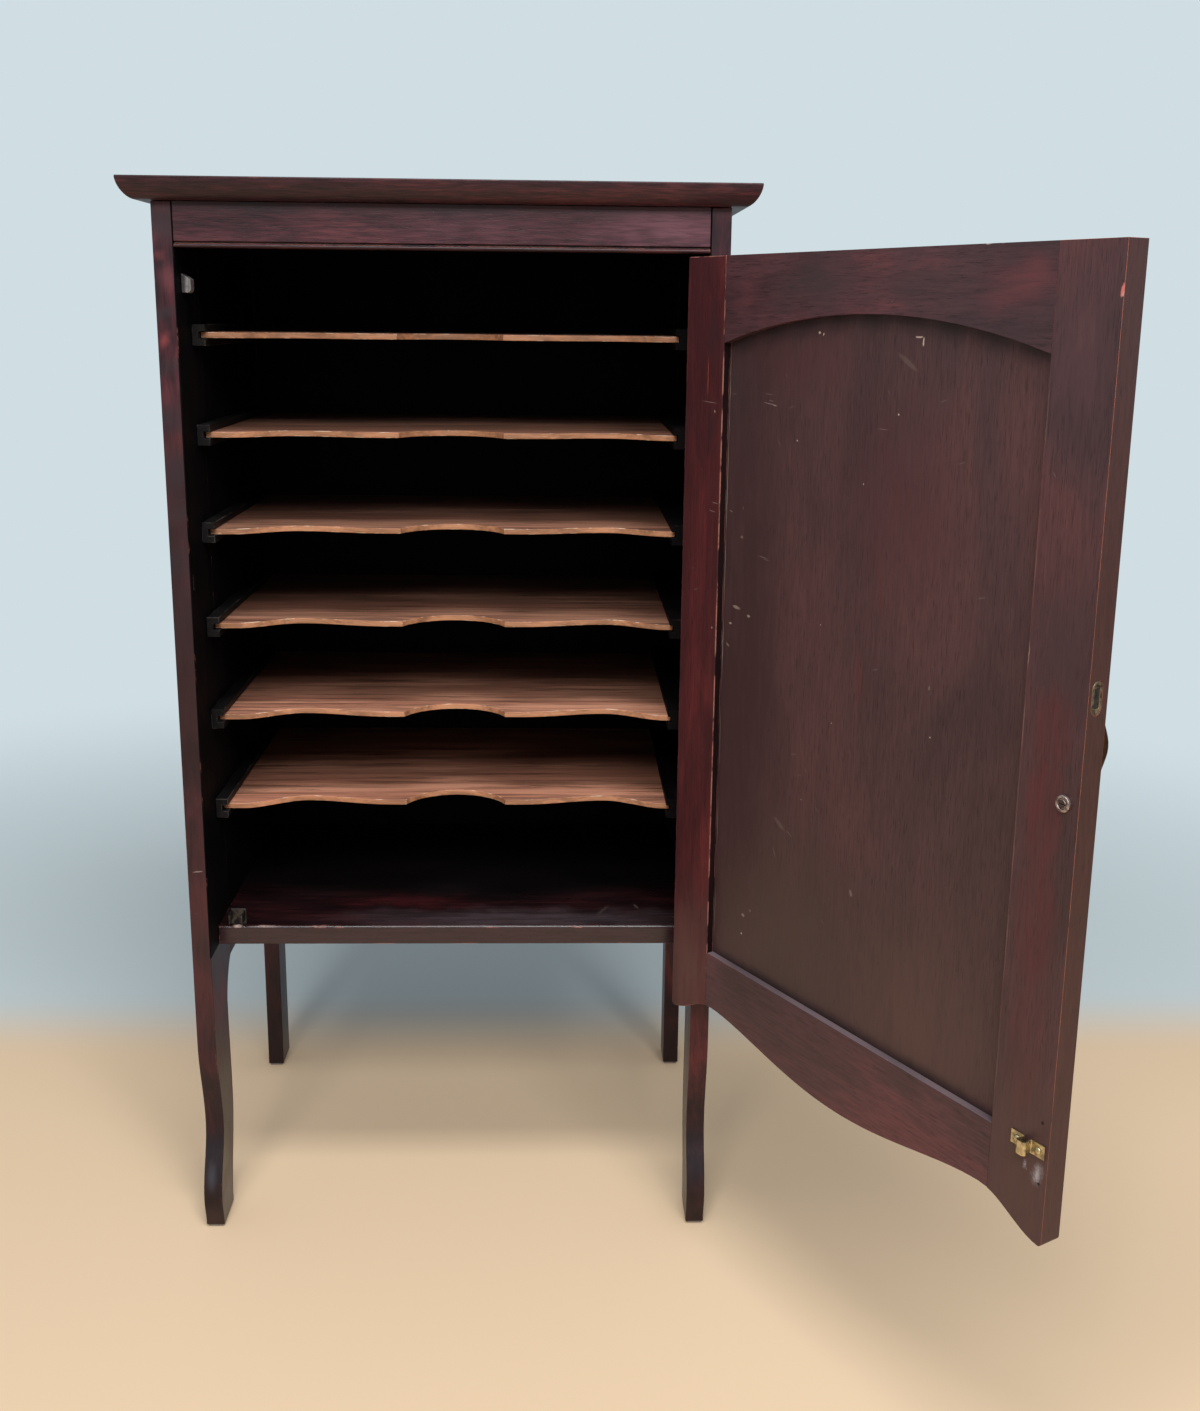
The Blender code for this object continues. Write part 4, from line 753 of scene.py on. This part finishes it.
IRON = metal("bronzed_iron", bright=(0.080, 0.072, 0.072), tarnish=(0.018, 0.016, 0.016), gloss=0.45,
             share=0.95)
FELT = felt_pad()


# Pieces
WELD_DISTANCE = 2e-6
FLAT_ANGLE = math.radians(0.4)         # triangles that meet flatter than this are one face
ARRIS_ANGLE = math.radians(30.0)       # edges sharper than this are eased
SMOOTH_ANGLE = math.radians(50.0)      # edges sharper than this stay crisp in the shading
# Painted light and shade: each tray's colour scaled by how much light falls on it
TRAY_PAINTED_LIGHT = {"tray_1": 0.95, "tray_2": 0.85, "tray_3": 0.80, "tray_4": 0.83, "tray_5": 1.35, "tray_6": 1.35}


def body_of(node):
    return next(body for body, nodes in frame["record"]["behaviour"]["bodies"].items() if node in nodes)


def board_number(node):
    """A number of the node's own, from the letters of its name."""
    return sum(ord(letter) * (i + 1) for i, letter in enumerate(node)) % 97 / 7.0


def welded(node):
    """The node's solid as a bmesh, its triangles joined into whole faces again."""
    mesh = bmesh.new()
    mesh.from_mesh(frame["nodes"][node].data)
    bmesh.ops.remove_doubles(mesh, verts=mesh.verts, dist=WELD_DISTANCE)
    bmesh.ops.dissolve_limit(mesh, angle_limit=FLAT_ANGLE, verts=mesh.verts, edges=mesh.edges)
    return mesh


def place_piece(name, mesh, matrix, materials, node):
    """Turn a bmesh in frame coordinates into a smooth piece that goes with a node."""
    for face in mesh.faces:
        face.smooth = True
    mesh.transform(matrix.inverted())
    data = bpy.data.meshes.new(name)
    mesh.to_mesh(data)
    mesh.free()
    for material in materials:
        data.materials.append(material)
    data.set_sharp_from_angle(angle=SMOOTH_ANGLE)
    piece = bpy.data.objects.new(name, data)
    bpy.context.scene.collection.objects.link(piece)
    piece.matrix_world = matrix
    piece.modifiers.new("even_faces", "WEIGHTED_NORMAL").keep_sharp = True
    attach(piece, body_of(node))
    return piece


def ease_arrises(mesh, width):
    """Round the sharp edges, and mark the new faces for wear."""
    arris = mesh.faces.layers.float.new("arris")
    sharp = [e for e in mesh.edges if e.is_manifold and e.calc_face_angle() > ARRIS_ANGLE]
    eased = bmesh.ops.bevel(mesh, geom=sharp, offset=width, offset_type="OFFSET", segments=2, profile=0.5,
                            affect="EDGES", clamp_overlap=True)
    for face in eased["faces"]:
        face[arris] = 1.0


# Grain, best face, material, width of the eased arrises, wear, and the near-black material of faces inside the
# case (dark stain and painted shade) with the way that they look
Finish = namedtuple("Finish", "along out material ease wear inner inside", defaults=(0.0, None, None))


def dress(node, finish):
    """Replace a node by the same solid, eased, in its finish, with the faces inside the case darker, as dark stain
    and painted shade.
    """
    mesh = welded(node)
    if finish.inside:
        everything = mesh.verts[:] + mesh.edges[:] + mesh.faces[:]
        bmesh.ops.bisect_plane(mesh, geom=everything, plane_co=(0.0, 0.0, FLOOR_OF_CASE), plane_no=UP)
    ease_arrises(mesh, finish.ease)
    mesh.normal_update()
    if finish.inside:
        for face in mesh.faces:
            if face.normal.dot(finish.inside) > FACING and face.calc_center_median().z > FLOOR_OF_CASE:
                face.material_index = 1
    materials = [finish.material, finish.inner] if finish.inside else [finish.material]
    matrix = grain_frame(node, finish.along, finish.out)
    piece = place_piece(f"{node}_piece", mesh, matrix, materials, node)
    piece["board"] = board_number(node)
    piece["wear"] = finish.wear
    # each tray's painted light
    piece["pale"] = TRAY_PAINTED_LIGHT.get(node, 1.0)
    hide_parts(node)


# By the longest start of a node's name
FINISHES = {
    "front_post_left": Finish(*POST, MARKED_POST_WOOD, 0.0011, 0.1, INNER_SHADED_WOOD, ACROSS),
    "front_post_right": Finish(*POST, POST_WOOD, 0.0011, 0.1, INNER_SHADED_WOOD, -ACROSS),
    "rear_post_left": Finish(*POST, POST_WOOD, 0.0011, 0.1, INNER_SHADED_WOOD, ACROSS),
    "rear_post_right": Finish(*POST, POST_WOOD, 0.0011, 0.1, INNER_SHADED_WOOD, -ACROSS),
    "side_panel_left": Finish(UP, -ACROSS, SIDE_WOOD, 0.0006, 0.1, INNER_SHADED_WOOD, ACROSS),
    "side_panel_right": Finish(UP, ACROSS, SIDE_WOOD, 0.0006, 0.1, INNER_SHADED_WOOD, -ACROSS),
    "back_panel": Finish(UP, BACKWARD, BACK_WOOD, 0.0006, 0.1, INNER_SHADED_WOOD, -BACKWARD),
    "top_board": Finish(*FLAT, TOP_WOOD, 0.0009, 0.1),
    "bottom_board": Finish(*FLAT, BOTTOM_WOOD, 0.0009, 0.25),
    "frieze_rail": Finish(*HEAD, FRIEZE_WOOD, 0.0004, 0.05),
    # the bead's worn arrises also paint a highlight line along its lower edge
    "frieze_bead": Finish(*HEAD, TOP_WOOD, 0.0004, 0.7),
    "runner_left": Finish(BACKWARD, UP, RUNNER_WOOD, 0.0006, 0.4),
    "runner_right": Finish(BACKWARD, UP, INNER_SHADED_WOOD, 0.0006),
    "door_stop_block": Finish(*POST, STOP_WOOD, 0.0007),
    "tray": Finish(*FLAT, TRAY_WOOD, 0.0006),
    "door_hinge_stile": Finish(*STILE, HINGE_STILE_WOOD, 0.0008, 0.55),
    "door_lock_stile": Finish(*STILE, LOCK_STILE_WOOD, 0.0010, 0.95),
    "door_top_rail": Finish(*RAIL, TOP_RAIL_WOOD, 0.0003, 0.02),
    "door_bottom_rail": Finish(*RAIL, BOTTOM_RAIL_WOOD, 0.0005, 0.06),
    "door_panel": Finish(*STILE, PANEL_WOOD, 0.0005, 0.1),
    "foot_glide": Finish(*FLAT, FELT, 0.0006),
    "lock_bolt": Finish(*STILE, IRON, 0.0003),
    "lock_case": Finish(*STILE, IRON, 0.0002),
    "catch_clip": Finish(BACKWARD, UP, IRON, 0.0003),
    "handle_nut": Finish(*STILE, NICKEL, 0.00012),
    "hinge": Finish(UP, DOOR_ACROSS, DULL_BRASS, 0.0002),
    "lock_plate": Finish(UP, DOOR_ACROSS, PLATE_BRONZE, 0.0003),
    "door_handle": Finish(UP, -DOOR_INWARD, BRONZE, 0.0003),
    "door_catch": Finish(*RAIL, BRASS, 0.0002),
    "catch_screw": Finish(*STILE, BRASS, 0.0002),
}
for node in frame["nodes"]:
    dress(node, FINISHES[max((start for start in FINISHES if node.startswith(start)), key=len)])


# Camera, as it stood for the photograph
PHOTO_SIZE = (1200, 1411)
FOCAL_PIXELS = 1500.457
OPTICAL_ROW = 669.94
CAMERA_PLACE = on_cabinet(0.10165, -1.37860, 0.91354)
CAMERA_YAW, CAMERA_PITCH, CAMERA_ROLL = (math.radians(angle) for angle in (1.6924, 13.2733, -0.6009))
SENSOR = 36.0


def make_camera():
    forward = Vector((math.sin(CAMERA_YAW) * math.cos(CAMERA_PITCH),
                      math.cos(CAMERA_YAW) * math.cos(CAMERA_PITCH), -math.sin(CAMERA_PITCH)))
    level = Vector((math.cos(CAMERA_YAW), -math.sin(CAMERA_YAW), 0.0))
    down = forward.cross(level)
    right = math.cos(CAMERA_ROLL) * level + math.sin(CAMERA_ROLL) * down
    below = -math.sin(CAMERA_ROLL) * level + math.cos(CAMERA_ROLL) * down
    data = bpy.data.cameras.new("camera")
    data.sensor_fit = "VERTICAL"
    data.sensor_height = SENSOR
    data.lens = SENSOR * FOCAL_PIXELS / PHOTO_SIZE[1]
    data.shift_y = (OPTICAL_ROW - PHOTO_SIZE[1] / 2) / PHOTO_SIZE[1]
    camera = bpy.data.objects.new("camera", data)
    turn = Matrix((right, -below, -forward)).transposed().to_4x4()
    camera.matrix_world = Matrix.Translation(CAMERA_PLACE) @ turn
    bpy.context.scene.collection.objects.link(camera)
    bpy.context.scene.camera = camera


# Light and floor
FLOOR_COLOUR = (0.83, 0.63, 0.43)
FLOOR_ROUGHNESS = 0.8
HAZE_COLOUR = (0.63, 0.73, 0.77)
SKY_COLOUR = (0.93, 0.97, 1.0)
SKY_STRENGTH = 0.30
FLOOR_REACH = 9.0
HAZE_LINE = (0.36, 0.56)        # behind the cabinet's front, where the floor turns to the cool tone
SHADOW_REACH = (0.9, 2.4)       # where the floor fades to the plain background
LAMP_COLOUR = (1.0, 0.98, 0.95)
Lamp = namedtuple("Lamp", "name place target size power")
LAMPS = (
    Lamp("room_light", place=(0.30, -2.6, 2.50), target=(0.05, 0.1, 0.55), size=(2.6, 0.8), power=80.0),
    Lamp("ceiling_light", place=(0.1, -1.0, 2.80), target=(0.1, 0.0, 0.5), size=(1.2, 0.5), power=31.5))


def make_lamp(lamp):
    """A soft rectangle of light, from the middle of the cabinet's front and the floor."""
    data = bpy.data.lights.new(lamp.name, "AREA")
    data.shape = "RECTANGLE"
    data.size, data.size_y = lamp.size
    data.energy = lamp.power
    data.color = LAMP_COLOUR
    light = bpy.data.objects.new(lamp.name, data)
    light.location = on_cabinet(*lamp.place)
    light.rotation_euler = (Vector(lamp.target) - Vector(lamp.place)).to_track_quat("-Z", "Y").to_euler()
    bpy.context.scene.collection.objects.link(light)


def make_world():
    """Soft light all round, and the pale background wherever it is seen, mirrored or looked through."""
    world = bpy.data.worlds.new("soft_room")
    bpy.context.scene.world = world
    world.use_nodes = True
    nodes, links = world.node_tree.nodes, world.node_tree.links
    ray = nodes.new("ShaderNodeLightPath")
    seen = ray.outputs["Is Camera Ray"]
    for name in ("Is Glossy Ray", "Is Transmission Ray"):
        either = nodes.new("ShaderNodeMath")
        either.operation = "MAXIMUM"
        links.new(seen, either.inputs[0])
        links.new(ray.outputs[name], either.inputs[1])
        seen = either.outputs[0]
    light = nodes["Background"]
    light.inputs["Color"].default_value = (*SKY_COLOUR, 1.0)
    light.inputs["Strength"].default_value = SKY_STRENGTH
    shown = nodes.new("ShaderNodeBackground")
    shown.inputs["Color"].default_value = (*HAZE_COLOUR, 1.0)
    mixed = nodes.new("ShaderNodeMixShader")
    for socket, source in zip(mixed.inputs, (seen, light.outputs[0], shown.outputs[0])):
        links.new(source, socket)
    links.new(mixed.outputs[0], nodes["World Output"].inputs["Surface"])


def floor_material():
    """Warm in front and cool behind, and far away as bright as the background to the camera."""
    shader = Shader("pale_floor")
    cool = shader.step(shader.axes(shader.place)["Y"], *HAZE_LINE)
    colour = shader.mix(cool, FLOOR_COLOUR, HAZE_COLOUR)
    shader.finish(base_color=colour, roughness=FLOOR_ROUGHNESS)
    far = shader.step(shader.vector("LENGTH", shader.place), *SHADOW_REACH)
    ray = shader.add("ShaderNodeLightPath")
    glow = shader.add("ShaderNodeEmission")
    shader.links.new(colour, glow.inputs["Color"])
    mixed = shader.add("ShaderNodeMixShader")
    shader.feed(mixed.inputs[0], shader.math("MULTIPLY", far, ray.outputs["Is Camera Ray"]))
    shader.links.new(shader.surface.outputs[0], mixed.inputs[1])
    shader.links.new(glow.outputs[0], mixed.inputs[2])
    shader.links.new(mixed.outputs[0], shader.nodes["Material Output"].inputs["Surface"])
    return shader.material


def make_floor():
    """A plain floor that keeps the shadow near the cabinet and fades to the background far away."""
    mesh = bmesh.new()
    bmesh.ops.create_grid(mesh, x_segments=2, y_segments=2, size=FLOOR_REACH)
    data = bpy.data.meshes.new("floor")
    mesh.to_mesh(data)
    mesh.free()
    data.materials.append(floor_material())
    floor = bpy.data.objects.new("floor", data)
    floor.location = CABINET
    bpy.context.scene.collection.objects.link(floor)


make_camera()
make_world()
make_floor()
for lamp in LAMPS:
    make_lamp(lamp)
bpy.context.scene.view_settings.view_transform = "Standard"
